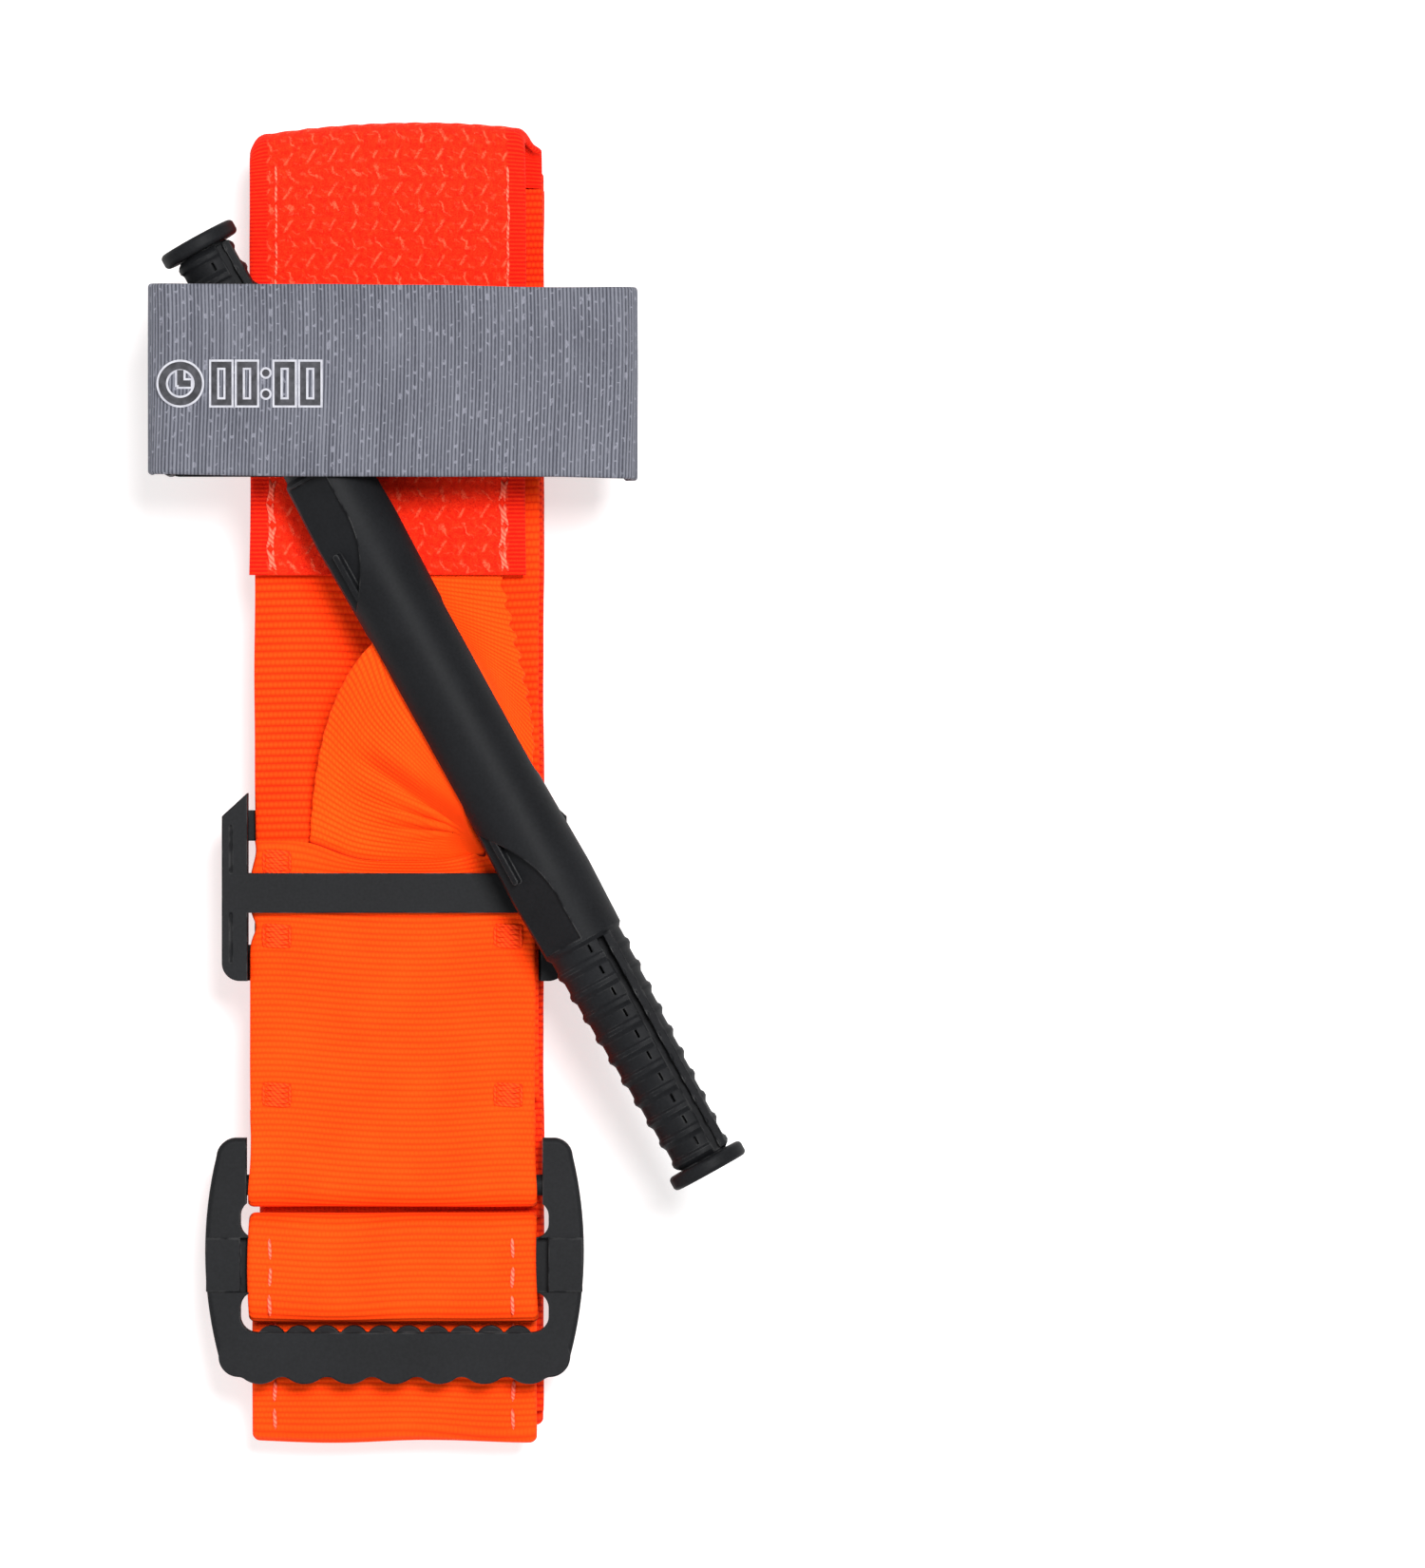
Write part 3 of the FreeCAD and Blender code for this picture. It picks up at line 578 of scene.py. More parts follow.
tack_thread = thread_finish("tack_thread", (0.80, 0.028, 0.002), (0.95, 0.062, 0.004), 0.12)
ink_dark = ink("print_dark", (0.012, 0.012, 0.016), (0.05, 0.05, 0.06))
ink_halo = ink("print_halo", (0.42, 0.42, 0.46), (0.3, 0.3, 0.34))


def finish_piece(obj, material, body=None):
    obj.data.materials.append(material)
    if body:
        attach(obj, body)
    return obj


# ---- camera, floor and light

VIEW_X, VIEW_Y, VIEW_HEIGHT, VIEW_SPAN, VIEW_DISTANCE = 42.5, -0.1, 15.0, 209.5, 2200.0
SENSOR = 36.0
FLOOR_HALF, FLOOR_GAP, FLOOR_GLOW = 4000, 0.05, 0.56
camera_data = bpy.data.cameras.new("camera")
camera = bpy.data.objects.new("camera", camera_data)
scene.collection.objects.link(camera)
camera.location = (VIEW_X * MM, VIEW_Y * MM, (VIEW_HEIGHT + VIEW_DISTANCE) * MM)
camera_data.sensor_fit = "VERTICAL"
camera_data.sensor_height = SENSOR
camera_data.lens = SENSOR * VIEW_DISTANCE / VIEW_SPAN
camera_data.clip_end = 20.0
scene.camera = camera

floor_z = CAD_BOX[0][2]
floor = new_object("floor", [(x * FLOOR_HALF, y * FLOOR_HALF, floor_z / MM - FLOOR_GAP)
                             for x, y in ((-1, -1), (1, -1), (1, 1), (-1, 1))],
                   [(0, 1, 2, 3)], smooth=False)
paper = Finish("floor_paper", 0.9, 0.1)
paper.colour(paper.ramp(paper.noise(6.0, 2.0, paper.place()),
                        [(0.3, (0.50, 0.50, 0.50)), (0.7, (0.52, 0.52, 0.52))]))
paper.shader.inputs["Emission Color"].default_value = (1, 1, 1, 1)
paper.shader.inputs["Emission Strength"].default_value = FLOOR_GLOW
floor.data.materials.append(paper.material)


def area_light(name, location, size_m, power):
    data = bpy.data.lights.new(name, "AREA")
    data.shape = "DISK"
    data.size = size_m
    data.energy = power
    obj = bpy.data.objects.new(name, data)
    obj.location = location
    direction = -np.array(location) / np.linalg.norm(location)
    obj.rotation_mode = "QUATERNION"
    obj.rotation_quaternion = Vector(direction).to_track_quat("-Z", "Y")
    scene.collection.objects.link(obj)


area_light("key", (0.30, 0.42, 1.6), 0.55, 38.5)
area_light("fill", (-1.2, -0.5, 1.3), 1.4, 8.0)
area_light("front", (0.2, -1.3, 1.2), 1.2, 6.0)

world = bpy.data.worlds.new("studio")
scene.world = world
world.use_nodes = True
world.node_tree.nodes["Background"].inputs["Color"].default_value = (1, 1, 1, 1)
world.node_tree.nodes["Background"].inputs["Strength"].default_value = 0.4
scene.view_settings.view_transform = "Standard"
scene.view_settings.look = "None"

# ---- pile tape and top fold

PILE_WIDTH = 36.8
TOP_APEX_X, TOP_DROP = 3.0, 1.5
FOLD_CENTRE_Y = 84.7
FOLD_START = 79.7


def top_end(points):
    """The folded top end is bowed: highest right of the middle, lower at its corners."""
    x, y = points[..., 0], points[..., 1]
    near = unit((y - 66.0) / 20.0)
    drop = TOP_DROP * ((x - TOP_APEX_X) / 20.0) ** 2
    corner = 1.6 * unit((np.abs(x + 0.6) - 16.6) / 2.4) ** 2.2
    out = points.copy()
    out[..., 1] = y - near ** 2 * drop - unit((y - 84.0) / 4.0) * corner
    return out


def loops_relief(x, s):
    """Tufts of the loop tape, in slanting columns."""
    swing = np.abs((s / (PILE_PERIOD / 2)) % 2 - 1) - 0.5
    column = np.cos(2 * math.pi * (x - swing) / PILE_COLUMN)
    fine = wander(x * 2.3 + s * 0.7, 3, 0.9) * wander(s * 1.9 - x * 0.4, 4, 0.8)
    return 0.05 * column + 0.05 * fine


tape_route = Route((PILE_EDGE, FRONT_Z), 0).pace(0.3).run(FOLD_START - PILE_EDGE - 1.0)
tape_route.run(1.0).shift(5.0, -0.1)
tape_route.pace(0.25).run(FOLD_CENTRE_Y - tape_route.point[0]).bend(3.1, -180).run(4.6)


def back_offset(s):
    """The tape's rear face; past FOLD_START the tape is backed by the folded band's thickness."""
    return np.where(s < FOLD_START - PILE_EDGE, -0.6, -0.6 - 0.7 * unit((s - 51.9) / 3.0))


pile_tape = strip("pile_tape", tape_route, PILE_WIDTH, SINGLE, -0.9, pitch=0, step=0.34,
                  relief=loops_relief, warp=top_end, roll=0.6, seed=11, bow=0.0,
                  face=(back_offset, 0.56),
                  skew=lambda s: 2.2 * unit((s - 60.0) / 4.0) ** 1.5)
finish_piece(pile_tape, pile, "band_and_plate")
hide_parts("pile_tape_front", "band_top_fold")

# ---- backing, rear run, sleeve

BAND_START = FOLD_START - 0.2
backing_route = Route((BAND_START, BACKING_Z), 180).pace(0.9).run(BAND_START - PILE_EDGE - 1.5)
backing_route.pace(1 / 6).run(PILE_EDGE + 1.5 - MOUTH + 4.0).pace(0.8).run(29.4)


def backing_shape(points):
    """Behind the pile tape the right edge draws in, so the rear layer shows beside it."""
    out = points.copy()
    x, y = points[..., 0], points[..., 1]
    out[..., 0] = np.where(x > 0, x * (1 - 0.115 * unit((y - 46.0) / 10.0)), x)
    return out


backing = strip("backing_run", backing_route, BAND_WIDTH, SINGLE, 0.3, pitch=UPPER_PITCH,
                depth=0.14, step=0.6, seed=21, warp=backing_shape)
finish_piece(backing, web_upper, "band_and_plate")
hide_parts("band_backing")

# the rear run and the free end's layers take the darker webbing with painted shade
rear_route = Route((BAND_START, LAYER_Z[4]), 180).pace(REAR_PITCH / 4).run(FOLD_START + 57.9)
rear = strip("rear_run", rear_route, BAND_WIDTH, BAND_THICK, LEAN, pitch=REAR_PITCH, depth=0.1,
             step=1.1, seed=22, wave=0.03)
finish_piece(rear, web_rear_shaded, "band_and_plate")
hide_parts("band_rear_run")

HEM, SLEEVE_END = 3.7, -43.0
LOWER_PACE = LOWER_PITCH / 6
sleeve_route = Route((MOUTH, FRONT_Z), 180).pace(LOWER_PACE).run(HEM)
sleeve_route.run(-SLEEVE_END + MOUTH - HEM).shift(7.0, -0.5).run(3.7).bend(2.3, 180)
sleeve_route.pace(0.4).run(3.0).shift(7.0, 1.8)


SIDE_ROWS = (14.2, 21.0, 24.4)


def hem_relief(x, s):
    """The hem stands higher, the sides are sewn down, and the band inside lifts the middle."""
    hem = 1 / (1 + np.exp(np.clip((s - HEM) * 7.0, -50, 50)))
    middle = 1 / (1 + np.exp((np.abs(x - 0.9) - 12.9) * 2.6))
    inside = unit((s - 4.5) / 1.5) * unit((34.0 - s) / 3.0)
    cross_line = np.exp(-((s - 26.4 + 0.5 * np.sin(x / 5.0)) / 0.5) ** 2)
    side_rows = sum(bell(s, at, 0.45) for at in SIDE_ROWS) * (1 - middle)
    return 0.12 * hem + inside * (0.16 * middle - 0.1 * side_rows) - 0.1 * cross_line - 0.04


def lip_sag(x):
    """1 where the lip sags, in the middle, and 0 at its ends."""
    return bell(x, 1.5, 10.5, 4)


def lip_offset(x):
    """How far the sleeve's lip lies past its straight edge."""
    return 0.9 - 2.7 * lip_sag(x)


def flare(points):
    """The sleeve spreads at the buckle's bar, narrows beside the crossbar, and its mouth gapes."""
    out = points.copy()
    x, y, z = points[..., 0], points[..., 1], points[..., 2]
    near = bell(y, -55.5, 4.0)
    pinch = bell(y, -9.6, 2.0) + bell(y, -19.2, 1.6)
    left = unit((-x - 8.0) / 11.0) ** 2
    out[..., 0] = x * (1 + 0.02 * near) - 0.15 + 0.75 * pinch * left
    mouth = unit((y + 12.2) / 3.6)
    out[..., 1] = y + mouth * lip_offset(x)
    out[..., 2] = z + mouth ** 2 * 0.5 * lip_sag(x) * np.cos((x - 1.5) / 8.0)
    return out


sleeve = strip("sleeve", sleeve_route, BAND_WIDTH, SINGLE, -0.1, pitch=LOWER_PITCH, depth=0.07,
               step=0.5, relief=hem_relief, warp=flare, seed=31, wave=0.08, bow=0.6)
finish_piece(sleeve, web_lower, "band_and_plate")
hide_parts("sleeve_front", "sleeve_hem", "band_buckle_loop")

# ---- buckle wrap and tail

WRAP_WIDTH, WRAP_THICK, WRAP_RADIUS = 38.6, 1.5, 2.0
wrap_route = Route((-58.2, 11.9), 90).pace(LOWER_PACE).run(1.6).bend(WRAP_RADIUS, 90)
wrap_route.run(9.0).bend(WRAP_RADIUS, 90).run(1.6)


def wrap_shape(points):
    """The wrap's edges waver a little."""
    out = points.copy()
    out[..., 0] = points[..., 0] + 0.2 * np.sin((points[..., 1] + 58) / 4.0)
    return out


wrap = strip("buckle_wrap", wrap_route, WRAP_WIDTH, WRAP_THICK, -0.2, pitch=LOWER_PITCH,
             depth=0.08, step=0.6, seed=41, warp=wrap_shape, wave=0.1, bow=0.4)
finish_piece(wrap, web_lower, "buckle")
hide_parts("band_buckle_wrap")

TAIL_START = -70.0
tail_route = Route((TAIL_START, LAYER_Z[4]), 180).pace(LOWER_PACE).run(TAIL_START - TAIL_TURN)
tail_route.bend(FOLD_RADIUS, 180).run(2.0)


def tail_shape(points):
    """The tail's fold is slightly uneven along its edge."""
    out = points.copy()
    near = unit((-points[..., 1] - 82.0) / 6.0)
    out[..., 1] = points[..., 1] + near * (0.25 + 0.2 * np.sin(points[..., 0] / 4.2 + 0.6))
    return out


tail = strip("tail_run", tail_route, BAND_WIDTH, BAND_THICK, -0.1, pitch=LOWER_PITCH, depth=0.09,
             step=0.6, seed=42, warp=tail_shape, roll=1.0)
finish_piece(tail, web_lower, "band_and_plate")
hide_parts("band_tail")

# ---- folded free end

inner_start, inner_turn, hinge_turn = TAIL_TURN + 2.2, 80.0, -84.0
layer_look = dict(pitch=REAR_PITCH, depth=0.1, step=1.3, roll=1.0)
inner_route = Route((inner_start, LAYER_Z[3]), 0).pace(REAR_PITCH / 4)
inner_route.run(inner_turn - inner_start).bend(FOLD_RADIUS, -180).run(inner_turn - hinge_turn)
inner_layers = strip("free_end_inner", inner_route, BAND_WIDTH, BAND_THICK, LEAN, seed=51,
                     wave=0.03, **layer_look)
finish_piece(inner_layers, web_rear_shaded, "band_and_plate")
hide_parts("free_end_inner_layers")

turn_route = Route((hinge_turn, LAYER_Z[2]), 180).pace(0.15).bend(FOLD_RADIUS, 180)
turn_fold = strip("free_end_turn", turn_route, BAND_WIDTH, BAND_THICK, LEAN, seed=52, wave=0.0,
                  **layer_look)
finish_piece(turn_fold, web_rear_shaded)
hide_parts("free_end_hinge_fold")
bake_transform(turn_fold)

outer_route = Route((-83.9, LAYER_Z[1]), 0).pace(REAR_PITCH / 4).run(162.0)
outer_route.bend(FOLD_RADIUS, -180).run(140.2)
TIP_START = -58.0


def tip_corners(points):
    """The free tip is cut with rounded corners and heat-sealed."""
    out = points.copy()
    x, y, z = points[..., 0], points[..., 1], points[..., 2]
    at_tip = (z < (LAYER_Z[0] + LAYER_Z[1]) / 2) & (y < TIP_START)
    inset = unit((np.abs(x - LEAN) - 15.0) / 4.0) ** 2 * 3.0
    blend_in = unit((TIP_START - y) / 4.0)
    out[..., 1] = np.where(at_tip, y + inset * blend_in, y)
    return out


outer_length = outer_route.along[-1]
outer_layers = strip("free_end_outer", outer_route, BAND_WIDTH, BAND_THICK, LEAN, seed=53,
                     wave=0.03, warp=tip_corners, **layer_look,
                     taper=lambda s: 1 - 0.45 * unit((s - outer_length + 2.5) / 2.0))
finish_piece(outer_layers, web_rear_shaded, "free_end")
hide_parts("free_end_outer_layers", "free_end_tip")

# ---- inner band

# the legs start a little way inside the sewn mouths, and the hidden runs carry on from there
LOWER_START, UPPER_START, HIDDEN_GAP = MOUTH - 4.6, PILE_EDGE + 3.2, 0.2

for name, node, start, heading, length in (
    ("inner_band_lower_hidden", "inner_band_lower", LOWER_START - HIDDEN_GAP, 180, 25.2),
    ("inner_band_upper_hidden", "inner_band_upper", UPPER_START + HIDDEN_GAP, 0, 47.6),
):
    route = Route((start, INNER_Z), heading).pace(0.8).run(length)
    piece = strip(name, route, INNER_WIDTH, INNER_THICK, 1.0, pitch=0, step=1.2, seed=61, wave=0.0,
                  edge_wave=0.05, roll=0.4)
    finish_piece(piece, web_inner, "band_and_plate")
    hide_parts(node)

ROD_ALONG = np.array([-math.sin(ROD_TILT), math.cos(ROD_TILT), 0.0])
ROD_OUT = np.array([math.cos(ROD_TILT), math.sin(ROD_TILT), 0.0])
ROD_CENTRE = np.array([ROD_X, ROD_Y, ROD_Z])
REACH = ROD_RADIUS - 0.7


def bezier(p0, p1, p2, p3, t):
    t = t[:, None]
    return (1 - t) ** 3 * p0 + 3 * (1 - t) ** 2 * t * p1 + 3 * (1 - t) * t ** 2 * p2 + t ** 3 * p3


LEG_ROWS, LEG_SEAM_Z = 260, 17.8
SCALLOP_PITCH = 2.1


def leg(name, left, right, ripple, side, scallop_size, hidden):
    """A leg of the inner band: a foot mesh below LEG_SEAM_Z and a sheet mesh above it.

    Both edges climb together, so the cut between the two meshes is nearly level. hidden gives
    the length that lies inside the sewn mouth, at each place across the band. Returns the two
    meshes, the lowest and highest z of the cut, and each mesh's length and area."""
    t = np.linspace(0, 1, LEG_ROWS)
    edge_a = bezier(*left, t)
    edge_b = bezier(*right, t)
    climb = (edge_a[:, 2] + edge_b[:, 2]) / 2
    edge_a[:, 2] = climb
    edge_b[:, 2] = climb
    u = columns(INNER_WIDTH, 0.48, 0.6)
    middle = len(u) // 2
    k = (u / INNER_WIDTH + 0.5)[None, :, None]
    grid = edge_a[:, None, :] * (1 - k) + edge_b[:, None, :] * k
    length = np.linalg.norm(np.diff(grid[:, middle], axis=0), axis=1)
    s = np.concatenate([[0], np.cumsum(length)])
    grid_s, grid_u = np.meshgrid(s, u, indexing="ij")
    scallop = scallop_size * np.sin(2 * math.pi * grid_s / SCALLOP_PITCH + 0.4 * np.sign(grid_u))
    scallop = scallop * (np.abs(grid_u) / (INNER_WIDTH / 2)) ** 9
    across = (edge_b - edge_a) / np.linalg.norm(edge_b - edge_a, axis=1, keepdims=True)
    grid += across[:, None, :] * (scallop * np.sin(math.pi * t[:, None]) ** 0.5)[..., None]
    grid[..., 2] += ripple(grid, t[:, None])
    d_row = np.gradient(grid, axis=0)
    d_col = np.gradient(grid, axis=1)
    pace = np.linalg.norm(d_row, axis=-1)
    gathered = unit(pace / pace[:, middle][:, None]) ** 1.5
    normal = np.cross(d_col, d_row)
    normal /= np.linalg.norm(normal, axis=-1, keepdims=True)
    normal *= np.sign(normal[..., 2:3].mean())
    half = INNER_THICK / 2 * edge_profile(grid_u, INNER_WIDTH, 0.5)
    relief = ribs(grid_s, INNER_PITCH, 0.03) * gathered
    top = grid + normal * (half + relief)[..., None]
    bottom = grid - normal * (half + relief)[..., None]
    start_pace = (pace[4] / pace[4, middle])[None, :]
    # v is about zero where the leg comes out of the sewn mouth, where the painted shade of the
    # inner webbing fades out
    uv = np.stack([grid_u * side, grid_s - hidden(grid_u) / start_pace], -1)
    cut = int(np.argmin(np.abs(climb - LEG_SEAM_Z)))
    foot = closed_sheet(f"{name}_foot", top[:cut + 1], bottom[:cut + 1], uv[:cut + 1])
    sheet = closed_sheet(f"{name}_sheet", top[cut:], bottom[cut:], uv[cut:])
    cut_z = np.concatenate([top[cut, :, 2], bottom[cut, :, 2]])
    seam = cut_z.min(), cut_z.max()
    cells = np.cross(grid[1:, :-1] - grid[:-1, :-1], grid[:-1, 1:] - grid[:-1, :-1])
    areas = np.linalg.norm(cells, axis=-1) * MM ** 2
    return foot, sheet, seam, (s[cut], areas[:cut].sum()), (s[-1] - s[cut], areas[cut:].sum())


def slot_row(sign):
    """The two ends of the line where a leg enters the rod's slot."""
    centre = ROD_CENTRE + ROD_OUT * REACH * sign
    return centre + ROD_ALONG * INNER_WIDTH / 2, centre - ROD_ALONG * INNER_WIDTH / 2


def lower_ripple(grid, t):
    """Soft folds that fan out from the corner where the leg is pinched, and one long crease."""
    x, y = grid[..., 0] - 10.5, grid[..., 1] + 6.5
    angle = np.degrees(np.arctan2(y, -x))
    reach = np.hypot(x, y)
    fan = bell(angle, 14.0, 16.0) * unit((reach - 1.0) / 3.0)
    fan = fan * bell(reach, 5.5, 5.0)
    off = (grid[..., 0] + 3.0) * 0.555 + (grid[..., 1] - 4.0) * 0.832
    ahead = (grid[..., 0] + 3.0) * 0.832 - (grid[..., 1] - 4.0) * 0.555
    crease = bell(off, 1.5, 1.5) - 1.1 * bell(off, -1.2, 1.3)
    crease = crease * bell(ahead, 7.0, 7.5, 4)
    swell = np.sin(unit(t) * math.pi) ** 1.5
    return swell * (0.7 * fan * np.cos(math.radians(360 / 15.0) * (angle - 26.0)) + crease
                    + 0.25 * wander(x + 0.4 * y, 71, 7.0))


def upper_ripple(grid, t):
    """Slight waviness only: the upper leg is pulled nearly flat."""
    swell = np.sin(unit(t) * math.pi) ** 2
    return 0.3 * swell * wander(grid[..., 0] + grid[..., 1], 73, 6.0)


upper_end, lower_end = slot_row(-1)
near_end, far_end = slot_row(1)


def lower_hidden(u):
    return MOUTH - LOWER_START + lip_offset(u + 1.0)


def upper_hidden(u):
    return UPPER_START - PILE_EDGE + 0 * u


lower_left = [np.array([-11.5, LOWER_START, INNER_Z]), np.array([-11.3, -1.0, 14.6]),
              np.array([-10.0, 12.0, 24.0]), upper_end]
lower_right = [np.array([13.5, LOWER_START, INNER_Z]), np.array([12.4, -7.8, 14.6]),
               np.array([9.6, -6.6, 22.5]), lower_end]
upper_left = [np.array([-11.5, UPPER_START, INNER_Z]), np.array([-8.0, 26.6, 14.9]),
              np.array([2.0, 26.4, 23.0]), near_end]
upper_right = [np.array([13.5, UPPER_START, INNER_Z]), np.array([15.6, 20.0, 15.0]),
               np.array([19.6, 8.0, 23.6]), far_end]

# each leg is built as two meshes, a foot below the cut and a sheet above it
for name, node, *shape in (
    ("inner_leg_lower", "inner_band_lower_leg",
     lower_left, lower_right, lower_ripple, 1, 0.05, lower_hidden),
    ("inner_leg_upper", "inner_band_upper_leg",
     upper_left, upper_right, upper_ripple, -1, 0.4, upper_hidden),
):
    foot, sheet, seam, foot_cut, sheet_cut = leg(name, *shape)
    finish_piece(foot, web_inner)
    finish_piece(sheet, web_inner)
    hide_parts(node)
    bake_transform(foot)
    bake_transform(sheet)

PASS_REACH = REACH + 0.3
pass_along = np.linspace(-PASS_REACH, PASS_REACH, 30)
pass_s, pass_w = np.meshgrid(pass_along, columns(INNER_WIDTH, 0.8, 0.6), indexing="ij")
pass_points = ROD_CENTRE + pass_s[..., None] * ROD_OUT + pass_w[..., None] * ROD_ALONG
pass_half = (INNER_THICK / 2 * edge_profile(pass_w, INNER_WIDTH, 0.5))[..., None]
pass_half = pass_half * np.array([0, 0, 1.0])
slot_pass = closed_sheet("inner_slot_pass", pass_points + pass_half, pass_points - pass_half,
                         np.stack([pass_w, pass_s], -1))
finish_piece(slot_pass, web_inner, "windlass")
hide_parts("inner_band_slot_pass")

# ---- time strap

STRAP_LEFT, STRAP_CORNER = -32.05, 3.5
LEVEL = STRAP_TOP - STRAP_THICK / 2
strap_route = Route((31.1, 14.4), 90).pace(0.3).run(1.4).shift(2.0, -0.95).pace(0.08)
strap_route.run(LEVEL - STRAP_CORNER - strap_route.point[1]).bend(STRAP_CORNER, 90)
strap_route.run(strap_route.point[0] - STRAP_LEFT - STRAP_CORNER).bend(STRAP_CORNER, 90)
strap_route.run(strap_route.point[1] - 24.3)


def strap_shape(points):
    """The strap is pulled slightly askew, and its top is softly crowned."""
    out = points.copy()
    x, y = points[..., 0], points[..., 1]
    across = (y - STRAP_MIDDLE) / (STRAP_WIDTH / 2)
    out[..., 1] = y + 0.25 * np.clip(-x / 32.0, -1, 1) + 0.12 * wander(x, 81, 9.0) * across
    crown = 1 - across ** 2
    flat = unit((np.abs(x) - 8.0) / 22.0)
    out[..., 2] = points[..., 2] - 0.25 * (1 - flat) * (1 - crown) * (points[..., 2] > 29.0)
    return out


strap = strip("time_strap_web", strap_route, STRAP_WIDTH, STRAP_THICK, STRAP_MIDDLE,
              pitch=STRAP_PITCH, depth=0.07, step=0.8, plane="xz", seed=82, wave=0.06,
              edge_wave=0.06, roll=0.45, warp=strap_shape)
finish_piece(strap, grey)
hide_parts("time_strap", "time_strap_anchor")
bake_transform(strap)

lining_route = Route((-31.35, 24.4), 90).pace(0.2).run(4.0)
lining = strip("strap_loop_patch", lining_route, 23.4, 0.4, STRAP_MIDDLE, pitch=0, step=0.3,
               plane="xz", seed=83, wave=0.02, edge_wave=0.05, roll=0.3,
               relief=lambda x, s: 0.05 * np.sin(x * 5.1) * np.sin(s * 6.3))
finish_piece(lining, grey_pile, "time_strap_flap")
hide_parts("time_strap_lining")

# ---- printed pictogram


def band_between(inner, outer, height):
    """Faces of a flat band between two closed outlines of the same count."""
    count = len(inner)
    verts = [(x, y, height) for x, y in inner] + [(x, y, height) for x, y in outer]
    faces = [(i, (i + 1) % count, count + (i + 1) % count, count + i) for i in range(count)]
    return verts, faces


def ring(cx, cy, low, high, height, count=48):
    """A flat ring from radius low to radius high."""
    turns = [2 * math.pi * i / count for i in range(count)]
    inner, outer = ([(cx + r * math.cos(a), cy + r * math.sin(a)) for a in turns]
                    for r in (low, high))
    return band_between(inner, outer, height)


def bar(x0, y0, x1, y1, wide, height):
    """A flat bar between two points."""
    a, b = np.array([x0, y0]), np.array([x1, y1])
    along = (b - a) / np.linalg.norm(b - a)
    side = np.array([-along[1], along[0]]) * wide / 2
    corners = [a - side, b - side, b + side, a + side]
    return [(p[0], p[1], height) for p in corners], [(0, 1, 2, 3)]


def frame_box(x0, y0, x1, y1, wide, height):
    outer = [(x0, y0), (x1, y0), (x1, y1), (x0, y1)]
    inner = [(x0 + wide, y0 + wide), (x1 - wide, y0 + wide),
             (x1 - wide, y1 - wide), (x0 + wide, y1 - wide)]
    return band_between(inner, outer, height)


def joined(name, parts, smooth=False):
    """One object from many lists of points and faces."""
    verts, faces = [], []
    for part_verts, part_faces in parts:
        base = len(verts)
        verts += part_verts
        faces += [tuple(base + i for i in face) for face in part_faces]
    return new_object(name, verts, faces, smooth=smooth)


CLOCK_X, CLOCK_Y, CLOCK_R = -28.1, 53.0, 2.9
BOX_LEFTS, BOX_WIDE, BOX_LOW, BOX_HIGH = (-24.0, -20.6, -15.6, -12.2), 2.7, 50.1, 55.9
PRINT_Z = STRAP_TOP + 0.07


def symbol(grow, height):
    """A clock face with two hands, then two boxes, two dots and two boxes."""
    x, y, hand = CLOCK_X, CLOCK_Y, 0.85 + 2 * grow
    parts = [ring(x, y, CLOCK_R - 1.0 - grow, CLOCK_R + grow, height),
             bar(x, y - 0.2 - grow, x, y + 1.8 + grow, hand, height + 0.004),
             bar(x - 0.2 - grow, y, x + 1.4 + grow, y, hand, height + 0.006)]
    for left in BOX_LEFTS:
        right = left + BOX_WIDE
        parts.append(frame_box(left - grow, BOX_LOW - grow, right + grow, BOX_HIGH + grow,
                               0.8 + 2 * grow, height))
    for y in (51.6, 54.4):
        parts.append(ring(-16.75, y, 0.02, 0.5 + grow, height, 16))
    return parts


halo = joined("print_halo", symbol(0.28, PRINT_Z))
finish_piece(halo, ink_halo, "time_strap_flap")
mark = joined("print_mark", symbol(0.0, PRINT_Z + 0.02))
finish_piece(mark, ink_dark, "time_strap_flap")

# ---- threads


def capsule(start, end, radius, flat=0.6, bow=0.0, sides=8, rings=7):
    """One stitch: a flattened thread that dips into the cloth at both ends."""
    a, b = np.array(start, float), np.array(end, float)
    along = b - a
    length = np.linalg.norm(along)
    along = along / length
    across = np.cross([0, 0, 1.0], along)
    across /= np.linalg.norm(across)
    up = np.cross(along, across)
    verts, faces = [], []
    for i in range(rings):
        t = i / (rings - 1)
        swell = math.sqrt(max(0.03, 1 - (2 * t - 1) ** 4))
        rise = math.sin(math.pi * t)
        centre = a + along * length * t + up * (radius * 0.9 * rise) + across * bow * rise
        for j in range(sides):
            angle = 2 * math.pi * j / sides
            verts.append(centre + across * radius * swell * math.cos(angle)
                         + up * radius * flat * swell * math.sin(angle))
    for i in range(rings - 1):
        for j in range(sides):
            k = (j + 1) % sides
            faces.append((i * sides + j, i * sides + k, (i + 1) * sides + k, (i + 1) * sides + j))
    faces.append(tuple(range(sides))[::-1])
    faces.append(tuple((rings - 1) * sides + j for j in range(sides)))
    return verts, faces


def threads(name, stitches, material, body, *nodes):
    obj = joined(name, [capsule(**stitch) for stitch in stitches], smooth=True)
    finish_piece(obj, material, body)
    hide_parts(*nodes)


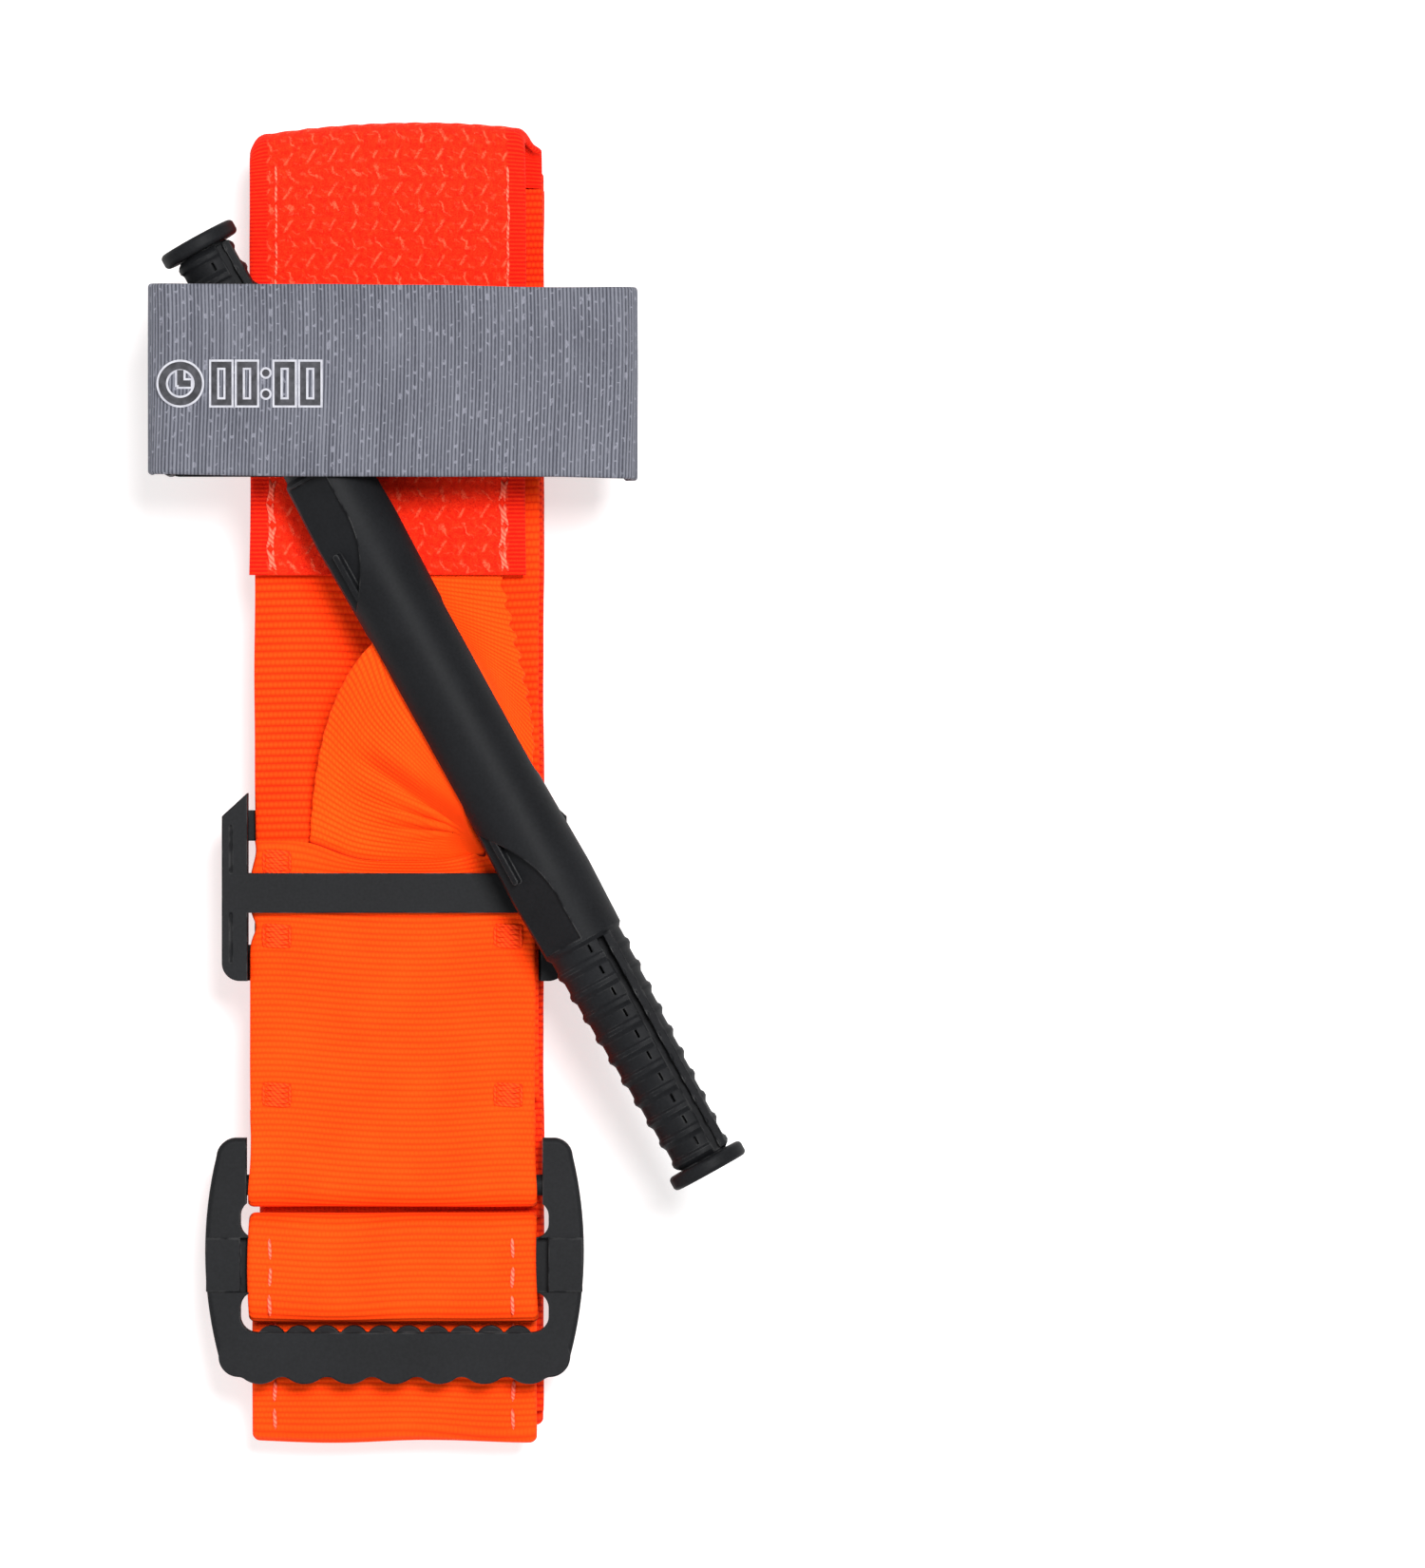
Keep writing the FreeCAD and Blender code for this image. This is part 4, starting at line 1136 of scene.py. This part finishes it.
def chain(x, y0, y1, z, period, length, radius, sway=0.0, bow=0.0, pair=0.0):
    """Stitches in a row along y. pair sets two side by side, bowed apart like a loop."""
    found = []
    y, count = y0, 0
    while y + length <= y1:
        wobble = rng.uniform(-1, 1, 3)
        slant = sway * (1 if count % 2 else -1)
        for side in ((-1, 1) if pair else (1,)):
            centre = x + side * pair / 2 + 0.07 * wobble[0]
            found.append(dict(start=(centre - slant, y + 0.15 * wobble[1], z),
                              end=(centre + slant, y + length, z),
                              radius=radius * (1 + 0.12 * wobble[2]), bow=bow * side))
        y += period
        count += 1
    return found


LOOPS_END = 45.0         # the pile tape's stitches are loops below this and plain above it
pile_stitches = []
for x in (-16.4, 14.6):
    pile_stitches += chain(x, 28.3, LOOPS_END, FRONT_TOP - 0.05, 3.1, 2.9, 0.24, sway=0.2,
                           bow=0.3, pair=0.85)
    pile_stitches += chain(x + 0.6, LOOPS_END, 83.0, FRONT_TOP - 0.1, 2.5, 2.42, 0.17, sway=0.05)
threads("pile_stitches", pile_stitches, pink_thread, "band_and_plate", "pile_tape_seams")

wrap_stitches = []
for x in (-16.6, 15.8):
    wrap_stitches += chain(x, -71.2, -58.2, 16.2, 3.8, 2.9, 0.24, sway=0.08)
threads("wrap_stitches", wrap_stitches, pink_thread, "buckle", "wrap_seams")

tail_stitches = []
for x in (-16.1, 15.8):
    tail_stitches += chain(x, -86.6, -71.0, 10.83, 3.8, 2.9, 0.24, sway=0.08)
threads("tail_stitches", tail_stitches, pink_thread, "band_and_plate", "tail_seams")

TACK_X, TACK_Y, TACK_LINES = (-15.7, 15.2), (-10.5, -20.4, -41.6), 9
tacks = []
for y in TACK_Y:
    for x in TACK_X:
        for k in range(TACK_LINES):
            level = y - 1.4 + 2.8 * k / (TACK_LINES - 1)
            lean = 0.12 if k % 2 else -0.12
            tacks.append(dict(start=(x - 1.9, level - lean, FRONT_TOP + 0.02),
                              end=(x + 1.9, level + lean, FRONT_TOP + 0.02),
                              radius=0.21, flat=0.45))
        for side in (-1.75, 1.75):
            tacks.append(dict(start=(x + side, y - 1.5, FRONT_TOP + 0.05),
                              end=(x + side, y + 1.5, FRONT_TOP + 0.05), radius=0.2))
threads("bartacks", tacks, tack_thread, "band_and_plate", "sleeve_bartacks")

# ---- hook pads


PAD_THICK, HOOK_RISE, HOOK_REACH = 0.16, 0.42, 0.32


def hook_pad(name, node, outward):
    """A thin backing on the clip's wall, with rows of small bent hooks."""
    low, high = np.array(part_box(node)) / MM
    wall = high[0] if outward < 0 else low[0]
    verts, faces = [], []

    def add(points, quads):
        base = len(verts)
        verts.extend(points)
        faces.extend(tuple(base + i for i in q) for q in quads)

    x0, x1 = wall, wall + outward * PAD_THICK
    corners = [(x, y, z) for x in (x0, x1) for y in (low[1], high[1]) for z in (low[2], high[2])]
    add(corners, [(0, 1, 3, 2), (4, 6, 7, 5), (0, 4, 5, 1), (2, 3, 7, 6),
                  (0, 2, 6, 4), (1, 5, 7, 3)])
    for y in np.arange(low[1] + 0.5, high[1] - 0.3, 0.8):
        for z in np.arange(low[2] + 0.4, high[2] - 0.4, 0.62):
            ring_points = []
            for t in np.linspace(0, 1, 5):
                out = x1 + outward * HOOK_REACH * math.sin(math.pi * min(1.0, t * 1.15))
                back = out - outward * 0.09
                up = z + HOOK_RISE * t
                w = 0.11 * (1 - 0.35 * t)
                ring_points += [(out, y - w, up), (out, y + w, up),
                                (back, y + w, up + 0.05), (back, y - w, up + 0.05)]
            quads = []
            for i in range(4):
                for j in range(4):
                    k = (j + 1) % 4
                    quads.append((i * 4 + j, i * 4 + k, (i + 1) * 4 + k, (i + 1) * 4 + j))
            quads += [(3, 2, 1, 0), (16, 17, 18, 19)]
            add(ring_points, quads)
    obj = new_object(name, verts, faces, smooth=False)
    finish_piece(obj, hooks, "band_and_plate")
    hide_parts(node)


hook_pad("hook_tape_left", "clip_hook_pad_left", -1)
hook_pad("hook_tape_right", "clip_hook_pad_right", 1)

# ---- moulded parts

for node, material in (("base_plate", plastic), ("windlass_rod", rod_plastic),
                       ("routing_buckle", plastic)):
    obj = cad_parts[node]
    obj.data.materials.clear()
    obj.data.materials.append(material)
